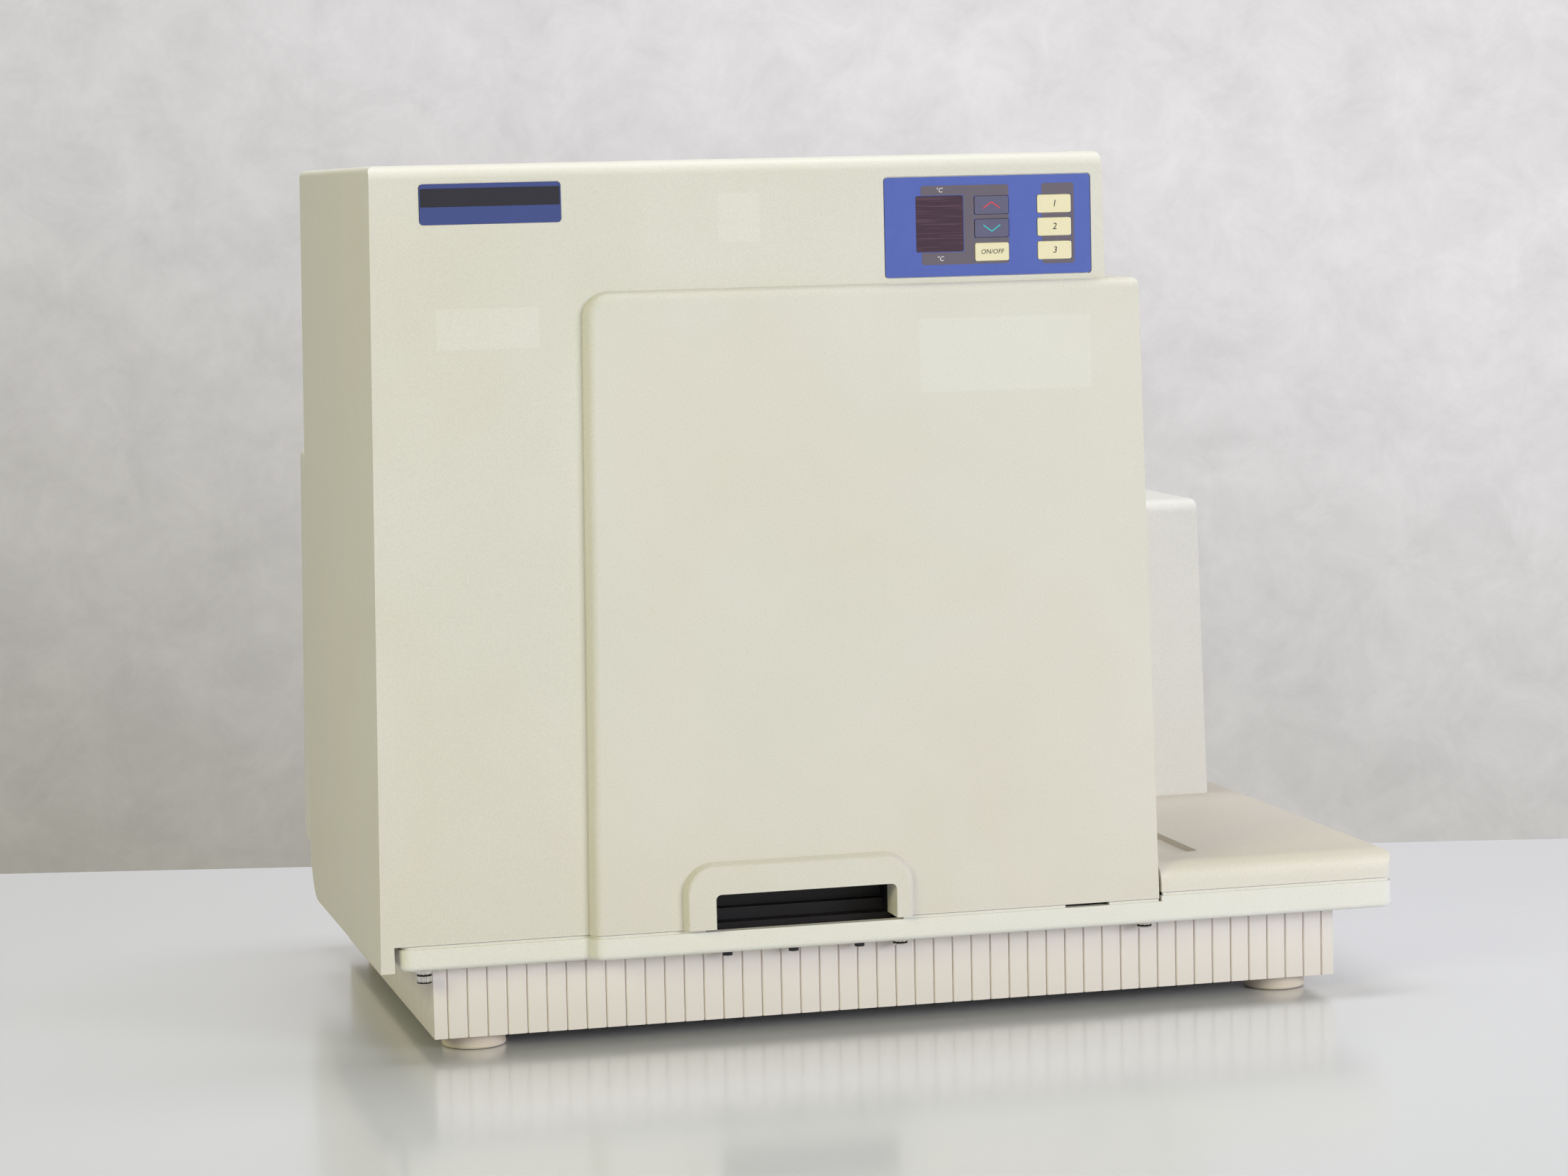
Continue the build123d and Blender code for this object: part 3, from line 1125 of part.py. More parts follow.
def main_board():
    """Populated board standing on the chassis plate."""
    board = block(BOARD_X, BOARD_X + BOARD_T, BOARD_Y0, BOARD_Y1, CHASSIS_TOP, BOARD_TOP)
    face = BOARD_X + BOARD_T
    for y, z, a, b, t in BOARD_PARTS:
        board = board + block(face, face + t, y - a / 2, y + a / 2, z - b / 2, z + b / 2)
    return board


NODES = {
    "base_tray": base_tray,
    "feet": feet,
    "lower_housing": lower_housing,
    "tower_cover": tower_cover,
    "grip_liner": grip_liner,
    "deck_cover": deck_cover,
    "rear_housing": rear_housing,
    "optics_cover": optics_cover,
    "rear_panel": rear_panel,
    "power_inlet": power_inlet,
    "rocker_switch": rocker_switch,
    "serial_ports": serial_ports,
    "fan_frame": fan_frame,
    "fan_rotor": fan_rotor,
    "panel_overlay": panel_overlay,
    "display_lens": display_lens,
    "display_module": display_module,
    "key_board": key_board,
    "badge_plate": badge_plate,
    "lip_plugs": lip_plugs,
    "chassis_plate": chassis_plate,
    "cage_bridge": bridge,
    "drawer_rails": rails,
    "stepper_motors": stepper_motors,
    "pipettor_backplate": pipettor_backplate,
    "guide_rods": guide_rods,
    "lift_screw": lift_screw,
    "head_carriage": head_carriage,
    "pipettor_head": pipettor_head,
    "tip_barrels": tip_barrels,
    "plunger_bar": plunger_bar,
    "plunger_actuator": plunger_actuator,
    "read_block": read_block,
    "emission_monochromator": emission_monochromator,
    "detector_tube": detector_tube,
    "excitation_monochromator": excitation_monochromator,
    "lamp_housing": lamp_housing,
    "light_guides": light_guides,
    "power_supply": power_supply,
    "main_board": main_board,
}

for name, maker in NODES.items():
    save(maker(), name)
save(cage_plate(LEFT_FRAME_X, False), "cage_left_plate")
save(cage_plate(RIGHT_FRAME_X, True), "cage_right_plate")
for place, x, sunk in zip(("left", "middle", "right"), FIX_XS, FIX_SUNK):
    save(captive_fixing(x, sunk), "captive_fixing_" + place)
for row, z in enumerate(KEY_ROWS):
    save(key(KEY_COL1, z), ("key_warmer", "key_cooler", "key_heater")[row])
    save(key(KEY_COL2, z), ("key_drawer_top", "key_drawer_middle", "key_drawer_bottom")[row])
for k in range(len(TRAY_ZS)):
    level = ("bottom", "middle", "top")[k]
    save(tray(k), "drawer_tray_" + level)
    save(door(k), "drawer_door_" + level)
    save(drive_screw(k), "drive_screw_" + level)
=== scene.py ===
"""Bench-top microplate reader: finishes, printed panel, fixings and a plain studio."""

import json
import math

import bmesh
import bpy
from mathutils import Matrix, Vector


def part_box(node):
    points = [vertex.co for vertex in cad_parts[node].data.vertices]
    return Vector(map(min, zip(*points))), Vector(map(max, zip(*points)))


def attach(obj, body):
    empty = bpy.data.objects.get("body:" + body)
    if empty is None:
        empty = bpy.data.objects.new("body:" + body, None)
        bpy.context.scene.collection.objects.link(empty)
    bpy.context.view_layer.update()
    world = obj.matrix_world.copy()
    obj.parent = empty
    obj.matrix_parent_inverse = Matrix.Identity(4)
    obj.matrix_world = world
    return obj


MM = 0.001

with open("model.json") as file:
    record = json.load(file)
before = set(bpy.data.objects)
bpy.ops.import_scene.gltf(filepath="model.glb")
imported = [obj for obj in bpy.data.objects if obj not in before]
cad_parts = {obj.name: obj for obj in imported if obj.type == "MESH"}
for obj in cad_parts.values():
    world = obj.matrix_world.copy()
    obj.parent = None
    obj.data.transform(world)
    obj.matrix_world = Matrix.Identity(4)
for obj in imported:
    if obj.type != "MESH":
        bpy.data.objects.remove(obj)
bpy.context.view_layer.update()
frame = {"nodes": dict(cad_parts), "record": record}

# ---------------------------------------------------------------- helpers


def linear(hex_colour):
    """An sRGB hex colour, such as "d9d4c6", as linear RGBA."""
    parts = [int(hex_colour[i:i + 2], 16) / 255 for i in (0, 2, 4)]
    return [c / 12.92 if c <= 0.04045 else ((c + 0.055) / 1.055) ** 2.4 for c in parts] + [1.0]


def add(tree, kind, values=None, links=None, **settings):
    """One node with its settings, its socket values and what feeds it."""
    made = tree.nodes.new(kind)
    for name, value in settings.items():
        setattr(made, name, value)
    for socket, value in (values or {}).items():
        made.inputs[socket].default_value = value
    for socket, source in (links or {}).items():
        tree.links.new(source, made.inputs[socket])
    return made


def finish_tree(name):
    """An empty material with its output node, its object coordinates and its surface shader."""
    material = bpy.data.materials.new(name)
    material.use_nodes = True
    tree = material.node_tree
    tree.nodes.clear()
    where = add(tree, "ShaderNodeTexCoord").outputs["Object"]
    shader = add(tree, "ShaderNodeBsdfPrincipled")
    add(tree, "ShaderNodeOutputMaterial", links={"Surface": shader.outputs["BSDF"]})
    return material, tree, where, shader


def feed(tree, shader, **sources):
    """Links named shader sockets, such as base_color, to what drives them."""
    for name, source in sources.items():
        tree.links.new(source, shader.inputs[name.replace("_", " ").title()])


# ---------------------------------------------------------------- finishes

# Sizes of the patterns in millimetres.
CLOUD_MM = 181.8  # breadth of the slow clouds of yellowing
BLUSH_MM = 166.7  # breadth of the warmer blotches among them
SPECK_MM = 7.0  # one dark speck to a cell of this size
MOULD_TONE_MM = 71.4  # breadth of the slow change of tone in a moulding
TURNING_MM = 1.111  # tool lines on a turned shank, coarser than the real ones so that they show
INK_MM = 16.67  # breadth of the faint mottle in printed ink
PEEL_MM = 1.4  # orange peel of a coated film
WEAVE_MM = 1.427  # glass weave of a board, about twice the real pitch so that it shows
LAND_MM = 6.0  # spacing of the solder lands
SCUFF_MM = (33.33, 1000.0, 1.111)  # a scuff is long across the lens and thin in height
HAZE_MM = 714.3  # breadth of the change of gloss over the table
WAVE_PERIOD = 0.314  # a wave texture of scale 1 repeats every 0.314 m

PAINT_IOR = 1.49
PLASTIC_IOR = 1.5
WARM_FROM, WARM_TO = 0.40, 0.06  # heights in metres between which the cover grows warmer
LABEL_EDGE = 0.4  # half width of the soft edge of a label's mark
LABEL_SHARE = 0.28  # how far the paint under a label stayed pale


def unfaded(tree, where, x0, x1, z0, z1, y_back):
    """1 inside a rectangle of the front face that a label kept from the light, 0 elsewhere."""
    part = add(tree, "ShaderNodeSeparateXYZ", links={0: where})
    mask = add(tree, "ShaderNodeMath", {1: y_back * MM}, {0: part.outputs["Y"]},
               operation="LESS_THAN").outputs[0]
    for axis, edge, way in (("X", x0, 1), ("X", x1, -1), ("Z", z0, 1), ("Z", z1, -1)):
        soft = add(tree, "ShaderNodeMapRange",
                   {"From Min": (edge - LABEL_EDGE * way) * MM,
                    "From Max": (edge + LABEL_EDGE * way) * MM},
                   {"Value": part.outputs[axis]})
        mask = add(tree, "ShaderNodeMath", links={0: mask, 1: soft.outputs["Result"]},
                   operation="MULTIPLY").outputs[0]
    return mask


def textured_paint(name, base, pale, warm, grain_mm=0.9, relief=0.14, rough=0.52,
                   patches=(), low_warmth=0.0, dust_and_shade=None):
    """Spray-textured paint on structural-foam mouldings: a fine pebble that breaks up the
    highlight, broad cloudy yellowing from years of daylight, and small dark specks. The real
    pebble is about half the size that is drawn here, which is as fine as shows."""
    material, tree, where, shader = finish_tree(name)
    clouds = add(tree, "ShaderNodeTexNoise",
                 {"Scale": 1.0 / (CLOUD_MM * MM), "Detail": 4.0, "Roughness": 0.6},
                 {"Vector": where})
    cloud_mask = add(tree, "ShaderNodeMapRange", {"From Min": 0.42, "From Max": 0.66},
                     {"Value": clouds.outputs["Fac"]})
    blush = add(tree, "ShaderNodeTexNoise",
                {"Scale": 1.0 / (BLUSH_MM * MM), "Detail": 3.0, "Roughness": 0.55,
                 "Distortion": 0.6},
                {"Vector": where})
    blotch = add(tree, "ShaderNodeMapRange", {"From Min": 0.48, "From Max": 0.8, "To Max": 0.3},
                 {"Value": blush.outputs["Fac"]})
    height = add(tree, "ShaderNodeSeparateXYZ", links={0: where})
    lower = add(tree, "ShaderNodeMapRange",
                {"From Min": WARM_FROM, "From Max": WARM_TO, "To Max": low_warmth},
                {"Value": height.outputs["Z"]})
    blush_mask = add(tree, "ShaderNodeMath",
                     links={0: blotch.outputs["Result"], 1: lower.outputs["Result"]},
                     operation="ADD", use_clamp=True)
    cloudy = add(tree, "ShaderNodeMix", {"A": linear(base), "B": linear(pale)},
                 {"Factor": cloud_mask.outputs["Result"]}, data_type="RGBA")
    yellowed = add(tree, "ShaderNodeMix", {"B": linear(warm)},
                   {"Factor": blush_mask.outputs[0], "A": cloudy.outputs["Result"]},
                   data_type="RGBA")
    tone = yellowed.outputs["Result"]
    for patch in patches:
        mask = unfaded(tree, where, *patch)
        faint = add(tree, "ShaderNodeMath", {1: LABEL_SHARE}, {0: mask}, operation="MULTIPLY")
        marked = add(tree, "ShaderNodeMix", {"B": linear("eeece9")},
                     {"Factor": faint.outputs[0], "A": tone}, data_type="RGBA")
        tone = marked.outputs["Result"]
    # Above a given height the colour goes tan: partly dust, partly painted shade that
    # neighbouring parts cast on the top.
    if dust_and_shade:
        dust_shade_start, dust_shade_full, dust_shade_share = dust_and_shade
        dust_and_shade_mask = add(tree, "ShaderNodeMapRange",
                      {"From Min": dust_shade_start, "From Max": dust_shade_full, "To Max": dust_shade_share},
                      {"Value": height.outputs["Z"]})
        dusted_and_shaded = add(tree, "ShaderNodeMix", {"B": linear("b3a792")},
                    {"Factor": dust_and_shade_mask.outputs["Result"], "A": tone}, data_type="RGBA")
        tone = dusted_and_shaded.outputs["Result"]
    pebble = add(tree, "ShaderNodeTexNoise",
                 {"Scale": 1.0 / (grain_mm * MM), "Detail": 2.0, "Roughness": 0.6},
                 {"Vector": where})
    grain = add(tree, "ShaderNodeMapRange",
                {"From Min": 0.3, "From Max": 0.7, "To Min": 0.94, "To Max": 1.03},
                {"Value": pebble.outputs["Fac"]})
    toned = add(tree, "ShaderNodeMix", {"Factor": 1.0},
                {"A": tone, "B": grain.outputs["Result"]}, data_type="RGBA",
                blend_type="MULTIPLY")
    specks = add(tree, "ShaderNodeTexVoronoi",
                 {"Scale": 1.0 / (SPECK_MM * MM), "Randomness": 1.0}, {"Vector": where})
    dot = add(tree, "ShaderNodeMapRange",
              {"From Min": 0.035, "From Max": 0.06, "To Min": 0.22, "To Max": 0.0},
              {"Value": specks.outputs["Distance"]})
    specked = add(tree, "ShaderNodeMix", {"B": linear("8f8364")},
                  {"Factor": dot.outputs["Result"], "A": toned.outputs["Result"]},
                  data_type="RGBA")
    bump = add(tree, "ShaderNodeBump", {"Strength": relief, "Distance": 0.25 * MM},
               {"Height": pebble.outputs["Fac"]})
    sheen = add(tree, "ShaderNodeMapRange",
                {"From Min": 0.3, "From Max": 0.7, "To Min": rough - 0.06,
                 "To Max": rough + 0.08},
                {"Value": clouds.outputs["Fac"]})
    shader.inputs["IOR"].default_value = PAINT_IOR
    feed(tree, shader, base_color=specked.outputs["Result"], roughness=sheen.outputs["Result"],
         normal=bump.outputs["Normal"])
    return material


def moulded(name, base, tint, rough=0.42, grain_mm=0.7, relief=0.08):
    """Injection-moulded plastic with a light spark-eroded grain and a slow change of tone. The
    real grain is about 0.1 mm and is drawn coarser so that it shows."""
    material, tree, where, shader = finish_tree(name)
    tone = add(tree, "ShaderNodeTexNoise", {"Scale": 1.0 / (MOULD_TONE_MM * MM), "Detail": 3.0},
               {"Vector": where})
    mix = add(tree, "ShaderNodeMix", {"A": linear(base), "B": linear(tint)},
              {"Factor": tone.outputs["Fac"]}, data_type="RGBA")
    fine = add(tree, "ShaderNodeTexNoise", {"Scale": 1.0 / (grain_mm * MM), "Detail": 2.0},
               {"Vector": where})
    bump = add(tree, "ShaderNodeBump", {"Strength": relief, "Distance": 0.2 * MM},
               {"Height": fine.outputs["Fac"]})
    sheen = add(tree, "ShaderNodeMapRange", {"To Min": rough - 0.05, "To Max": rough + 0.1},
                {"Value": fine.outputs["Fac"]})
    shader.inputs["IOR"].default_value = PLASTIC_IOR
    feed(tree, shader, base_color=mix.outputs["Result"], roughness=sheen.outputs["Result"],
         normal=bump.outputs["Normal"])
    return material


def metal(name, base, tint, rough=0.3, stretch=(1.0, 1.0, 1.0), pitch_mm=0.6, relief=0.05):
    """Worked metal: the tool's or grinder's lines run along the axis that the stretch shrinks.
    Their pitch is several times the real one, because the real lines are too fine to show."""
    material, tree, where, shader = finish_tree(name)
    along = add(tree, "ShaderNodeMapping", {"Scale": stretch}, {"Vector": where})
    lines = add(tree, "ShaderNodeTexNoise",
                {"Scale": 1.0 / (pitch_mm * MM), "Detail": 3.0, "Roughness": 0.6},
                {"Vector": along.outputs["Vector"]})
    mix = add(tree, "ShaderNodeMix", {"A": linear(base), "B": linear(tint)},
              {"Factor": lines.outputs["Fac"]}, data_type="RGBA")
    sheen = add(tree, "ShaderNodeMapRange", {"To Min": rough - 0.08, "To Max": rough + 0.14},
                {"Value": lines.outputs["Fac"]})
    bump = add(tree, "ShaderNodeBump", {"Strength": relief, "Distance": 0.1 * MM},
               {"Height": lines.outputs["Fac"]})
    shader.inputs["Metallic"].default_value = 1.0
    feed(tree, shader, base_color=mix.outputs["Result"], roughness=sheen.outputs["Result"],
         normal=bump.outputs["Normal"])
    return material


def steel_with_painted_bands(name, base, shade, pitch_mm=4.2, rough=0.16):
    """Turned and polished stainless steel with painted light: a pale body for a lamp's glint and
    narrow dark bands of painted shade: the small shiny pieces' sharp light and dark bands."""
    material, tree, where, shader = finish_tree(name)
    # Narrow dark bands along Z are painted shade, with a small bump under them.
    painted_bands = add(tree, "ShaderNodeTexWave",
                {"Scale": WAVE_PERIOD / (pitch_mm * MM), "Distortion": 0.0},
                {"Vector": where}, bands_direction="Z")
    band_mask = add(tree, "ShaderNodeMapRange", {"From Min": 0.06, "From Max": 0.24},
               {"Value": painted_bands.outputs["Fac"]})
    lines = add(tree, "ShaderNodeTexNoise", {"Scale": 1.0 / (TURNING_MM * MM), "Detail": 2.0},
                {"Vector": where})
    mix = add(tree, "ShaderNodeMix", {"A": linear(shade), "B": linear(base)},
              {"Factor": band_mask.outputs["Result"]}, data_type="RGBA")
    sheen = add(tree, "ShaderNodeMapRange", {"To Min": rough - 0.06, "To Max": rough + 0.1},
                {"Value": lines.outputs["Fac"]})
    bump = add(tree, "ShaderNodeBump", {"Strength": 0.3, "Distance": 0.3 * MM},
               {"Height": band_mask.outputs["Result"]})
    shader.inputs["Metallic"].default_value = 1.0
    feed(tree, shader, base_color=mix.outputs["Result"], roughness=sheen.outputs["Result"],
         normal=bump.outputs["Normal"])
    return material


def printed_film(name, base, tint, rough=0.32, coat=0.25):
    """Back-printed polyester film: even ink under a satin face with a faint orange-peel."""
    material, tree, where, shader = finish_tree(name)
    ink = add(tree, "ShaderNodeTexNoise",
              {"Scale": 1.0 / (INK_MM * MM), "Detail": 4.0, "Roughness": 0.7},
              {"Vector": where})
    mix = add(tree, "ShaderNodeMix", {"A": linear(base), "B": linear(tint)},
              {"Factor": ink.outputs["Fac"]}, data_type="RGBA")
    peel = add(tree, "ShaderNodeTexNoise", {"Scale": 1.0 / (PEEL_MM * MM), "Detail": 1.0},
               {"Vector": where})
    bump = add(tree, "ShaderNodeBump", {"Strength": 0.05, "Distance": 0.1 * MM},
               {"Height": peel.outputs["Fac"]})
    sheen = add(tree, "ShaderNodeMapRange", {"To Min": rough - 0.04, "To Max": rough + 0.08},
                {"Value": ink.outputs["Fac"]})
    shader.inputs["Coat Weight"].default_value = coat
    shader.inputs["Coat Roughness"].default_value = 0.18
    feed(tree, shader, base_color=mix.outputs["Result"], roughness=sheen.outputs["Result"],
         normal=bump.outputs["Normal"])
    return material


def board_laminate(name):
    """Green solder mask on glass-epoxy board, with a fine weave under it and lighter lands."""
    material, tree, where, shader = finish_tree(name)
    weave = add(tree, "ShaderNodeTexWave",
                {"Scale": WAVE_PERIOD / (WEAVE_MM * MM), "Distortion": 1.5, "Detail": 1.0},
                {"Vector": where})
    lands = add(tree, "ShaderNodeTexVoronoi", {"Scale": 1.0 / (LAND_MM * MM)},
                {"Vector": where}, feature="F1", distance="CHEBYCHEV")
    land = add(tree, "ShaderNodeMapRange",
               {"From Min": 0.16, "From Max": 0.18, "To Min": 0.8, "To Max": 0.0},
               {"Value": lands.outputs["Distance"]})
    mask = add(tree, "ShaderNodeMix", {"A": linear("1f4a2c"), "B": linear("2b5e38")},
               {"Factor": weave.outputs["Fac"]}, data_type="RGBA")
    mix = add(tree, "ShaderNodeMix", {"B": linear("a9b09a")},
              {"Factor": land.outputs["Result"], "A": mask.outputs["Result"]},
              data_type="RGBA")
    bump = add(tree, "ShaderNodeBump", {"Strength": 0.1, "Distance": 0.1 * MM},
               {"Height": weave.outputs["Fac"]})
    shader.inputs["Roughness"].default_value = 0.35
    feed(tree, shader, base_color=mix.outputs["Result"], normal=bump.outputs["Normal"])
    return material


def smoked_acrylic(name):
    """Dark red-brown acrylic over a display that is off: glossy, with faint horizontal scuffs."""
    material, tree, where, shader = finish_tree(name)
    along = add(tree, "ShaderNodeMapping", {"Scale": [1.0 / (size * MM) for size in SCUFF_MM]},
                {"Vector": where})
    scuff = add(tree, "ShaderNodeTexNoise", {"Scale": 1.0, "Detail": 3.0, "Roughness": 0.65},
                {"Vector": along.outputs["Vector"]})
    streak = add(tree, "ShaderNodeMapRange", {"From Min": 0.5, "From Max": 0.75},
                 {"Value": scuff.outputs["Fac"]})
    mix = add(tree, "ShaderNodeMix", {"A": linear("412c3c"), "B": linear("614759")},
              {"Factor": streak.outputs["Result"]}, data_type="RGBA")
    sheen = add(tree, "ShaderNodeMapRange", {"To Min": 0.12, "To Max": 0.3},
                {"Value": scuff.outputs["Fac"]})
    feed(tree, shader, base_color=mix.outputs["Result"], roughness=sheen.outputs["Result"])
    return material


FINISHES = {
    # Textured paint on structural foam: matt cream with a pebble, gone a little yellow.
    "cover_plastic": textured_paint("textured_paint_cream", "dfddd5", "e2dfd9", "d9cebd"),
    # Moulded ABS: a warmer, smoother stone tone that marks the base off from the cover.
    "base_plastic": moulded("moulded_abs_stone", "e8e1de", "e3dbd4", rough=0.45),
    # Moulded urethane: soft, dull cream rubber.
    "foot_plastic": moulded("moulded_urethane_cream", "e2d6c8", "d6c9ba", rough=0.5),
    # Moulded nylon: near black, with only a dull gloss.
    "black_plastic": moulded("moulded_nylon_black", "1c1a1c", "2a282b", rough=0.5),
    # Powder coat on bent sheet: a heavier pebble than the cover's, slightly darker.
    "painted_sheet": textured_paint("powder_coat_cream", "cfcabb", "d6d2c6", "cabf9f",
                                    grain_mm=1.1, relief=0.2, rough=0.5),
    # Zinc plate: cool bright grey with a soft, even gloss.
    "plated_steel": metal("zinc_plated_steel", "b9bcc0", "d5d6d4", rough=0.32),
    # Back-printed film: strong blue behind a satin face.
    "panel_film": printed_film("printed_film_blue", "5062b4", "5a6cbe"),
    # Smoked acrylic: dark and glossy.
    "smoked_lens": smoked_acrylic("smoked_acrylic"),
    # Solder mask: deep green with pale lands.
    "circuit_board": board_laminate("solder_mask_green"),
    # Printed badge film: a darker blue than the panel's.
    "badge_film": printed_film("badge_film_blue", "3d4a88", "43508f"),
    # Milled aluminium: pale grey with cutter lines along Y.
    "milled_aluminium": metal("milled_aluminium", "c4c7ca", "dcdddd", rough=0.36,
                              stretch=(1.0, 0.12, 1.0)),
    # Matt black paint: almost no gloss.
    "black_paint": moulded("matt_black_paint", "17181a", "222326", rough=0.62, grain_mm=0.5),
    # Ground steel: bright, with fine lines along X.
    "ground_steel": metal("ground_steel", "c9cbcd", "e0e0de", rough=0.2,
                          stretch=(0.15, 1.0, 1.0), pitch_mm=0.3),
    # Black anodised aluminium: charcoal with a metal's gloss, drawn along Z.
    "black_anodised": metal("black_anodised_aluminium", "26282b", "34373a", rough=0.42,
                            stretch=(1.0, 1.0, 0.2)),
    # Moulded key caps: smooth ivory, warmer than the cover.
    "key_cap": moulded("moulded_key_cream", "f1e9cb", "ece2bd", rough=0.35, relief=0.03),
    # Turned stainless steel: a pale body for a painted glint and dark bands of painted shade.
    "bright_steel": steel_with_painted_bands("stainless_steel_painted_bands", "d6d3cc", "2b2926"),
}

# Where labels have been: x from and to, z from and to, and a y that only the face is before.
LABEL_MARKS = (
    (-249.0, -193.4, 382.7, 404.4, -170.0),
    (16.1, 114.1, 351.5, 391.6, -178.0),
    (-93.7, -70.7, 436.2, 462.3, -170.0),
)
DECK_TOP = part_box("deck_cover")[1].z
# The top of the deck goes tan: dust, and painted shade of the tower and the optics cover.
DECK_DUST_AND_SHADE = (DECK_TOP - 6.5 * MM, DECK_TOP - 2.5 * MM, 0.38)  # starts, is full, and its share
OWN_FINISHES = {
    # The cover's paint again, with paler label marks and warmer towards the bench.
    "tower_cover": textured_paint("textured_paint_cream_marked", "dfddd5", "e3e0da", "d9cebd",
                                  patches=LABEL_MARKS, low_warmth=0.25),
    # The same paint on the lip, paler and less yellow than the cover's.
    "lower_housing": textured_paint("textured_paint_pale", "e8e6de", "ebe9e4", "e2ddd0"),
    # The same paint on the deck, with dust and painted shade as a tan film on its top.
    "deck_cover": textured_paint("textured_paint_deck", "e1ddd3", "e5e0d8", "dad1bf",
                                 dust_and_shade=DECK_DUST_AND_SHADE),
    # The same paint on the optics cover, made the palest of the mouldings as painted light.
    "optics_cover": textured_paint("textured_paint_optics_painted_light", "e8e5dd", "eae7e1", "e2dacb"),
}


def dress_nodes():
    """Every carried-over node takes the finish of its material slot."""
    slots = {part["node"]: part["material_slot"] for part in frame["record"]["subparts"]}
    for name, piece in frame["nodes"].items():
        piece.data.materials.clear()
        piece.data.materials.append(OWN_FINISHES.get(name) or FINISHES[slots[name]])


dress_nodes()

# ---------------------------------------------------------------- shaping steps


def edit(piece):
    """Only this piece selected, all of it, in edit mode."""
    bpy.ops.object.select_all(action="DESELECT")
    piece.select_set(True)
    bpy.context.view_layer.objects.active = piece
    bpy.ops.object.mode_set(mode="EDIT")
    bpy.ops.mesh.select_all(action="SELECT")


def settle(piece, name, material, body):
    """Back to object mode, place held in the mesh, name, finish and the body it rides on."""
    bpy.ops.object.mode_set(mode="OBJECT")
    bpy.ops.object.transform_apply(location=True, rotation=True, scale=True)
    piece.name = name
    piece.data.materials.clear()
    piece.data.materials.append(material)
    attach(piece, body)
    return piece


def draw_out_ink():
    """Gives the flat shape in edit mode the thickness of ink, its faces outwards."""
    bpy.ops.mesh.extrude_region_move(TRANSFORM_OT_translate={"value": (0, -INK * MM, 0)})
    bpy.ops.mesh.select_all(action="SELECT")
    bpy.ops.mesh.normals_make_consistent(inside=False)


def cutting_block(at, size):
    """A block to cut with, its place and size in its mesh."""
    bpy.ops.object.select_all(action="DESELECT")
    bpy.ops.mesh.primitive_cube_add(size=1.0, location=at)
    block = bpy.context.object
    block.scale = size
    bpy.ops.object.transform_apply(location=True, rotation=True, scale=True)
    return block


def cut_away(piece, block):
    """Takes the block's shape out of the piece and throws the block away."""
    cut = piece.modifiers.new("cut", "BOOLEAN")
    cut.operation = "DIFFERENCE"
    cut.solver = "EXACT"
    cut.object = block
    bpy.ops.object.select_all(action="DESELECT")
    bpy.context.view_layer.objects.active = piece
    piece.select_set(True)
    bpy.ops.object.modifier_apply(modifier=cut.name)
    bpy.data.objects.remove(block)


# ---------------------------------------------------------------- printed panel

INK = 0.06
KEY_MARGIN = 0.3
KEY_FACE = (19.4, 9.8)
LENS_FACE = (27.0, 30.6)
WINDOW_CUT_DEPTH = 20.0
TEMPERATURE_FIELD = (19.9, 70.0, 420.7, 463.8)  # x from and to, z from and to
DRAWER_FIELD = (88.9, 107.5, 419.8, 463.9)
FIELD_CORNER = 1.6
CHEVRON_W = 9.6
CHEVRON_STROKE = 0.75
CHEVRON_RISE = 3.4
LETTER_TALL = 2.6
NUMERAL_TALL = 3.6
TYPE_SIZE = 1.4  # size of the type over the height of its capitals
TYPE_SLANT = 0.18
KEY_LEGENDS = (
    ("heater", "ON/OFF", LETTER_TALL),
    ("drawer_top", "1", NUMERAL_TALL),
    ("drawer_middle", "2", NUMERAL_TALL),
    ("drawer_bottom", "3", NUMERAL_TALL),
)
UNIT_X = 30.4
UNIT_UPPER_Z, UNIT_LOWER_Z = 461.2, 423.9
BAND_INSET = 0.5
BAND_Z0, BAND_Z1 = 458.6, 468.4
BAND_CORNER = 0.4

# Screen-printed inks: flat satin colour, each a little uneven.
DARK_INK = printed_film("printed_ink_slate", "645d6b", "6d6674", rough=0.36)
KEY_INK = printed_film("printed_ink_navy", "5d5c78", "666584", rough=0.3)
RED_INK = printed_film("printed_ink_red", "d8404e", "e04a55", rough=0.35)
CYAN_INK = printed_film("printed_ink_cyan", "3fc3cc", "4accd2", rough=0.35)
BLACK_INK = printed_film("printed_ink_black", "1f1f2a", "272733", rough=0.4)
WHITE_INK = printed_film("printed_ink_white", "e9e6ea", "f2f0f2", rough=0.4)
ROOT = "case"


def printed_patch(name, field, y, corner, material, body):
    """A film of ink: a plane on the face, its corners rounded, drawn out to its thickness."""
    x0, x1, z0, z1 = field
    bpy.ops.object.select_all(action="DESELECT")
    middle = ((x0 + x1) / 2 * MM, y, (z0 + z1) / 2 * MM)
    bpy.ops.mesh.primitive_plane_add(size=1.0, location=middle,
                                     rotation=(math.radians(90), 0, 0))
    piece = bpy.context.object
    piece.scale = ((x1 - x0) * MM, (z1 - z0) * MM, 1.0)
    bpy.ops.object.transform_apply(location=False, rotation=True, scale=True)
    edit(piece)
    bpy.ops.mesh.bevel(offset=corner * MM, segments=5, affect="VERTICES")
    bpy.ops.mesh.select_all(action="SELECT")
    draw_out_ink()
    return settle(piece, name, material, body)


def cut_windows(piece, names, wide, tall):
    """Leaves room in a print for the keys or the lens that come through it."""
    size = ((wide + 2 * KEY_MARGIN) * MM, WINDOW_CUT_DEPTH * MM, (tall + 2 * KEY_MARGIN) * MM)
    for name in names:
        low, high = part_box(name)
        cut_away(piece, cutting_block(((low.x + high.x) / 2, low.y, (low.z + high.z) / 2), size))


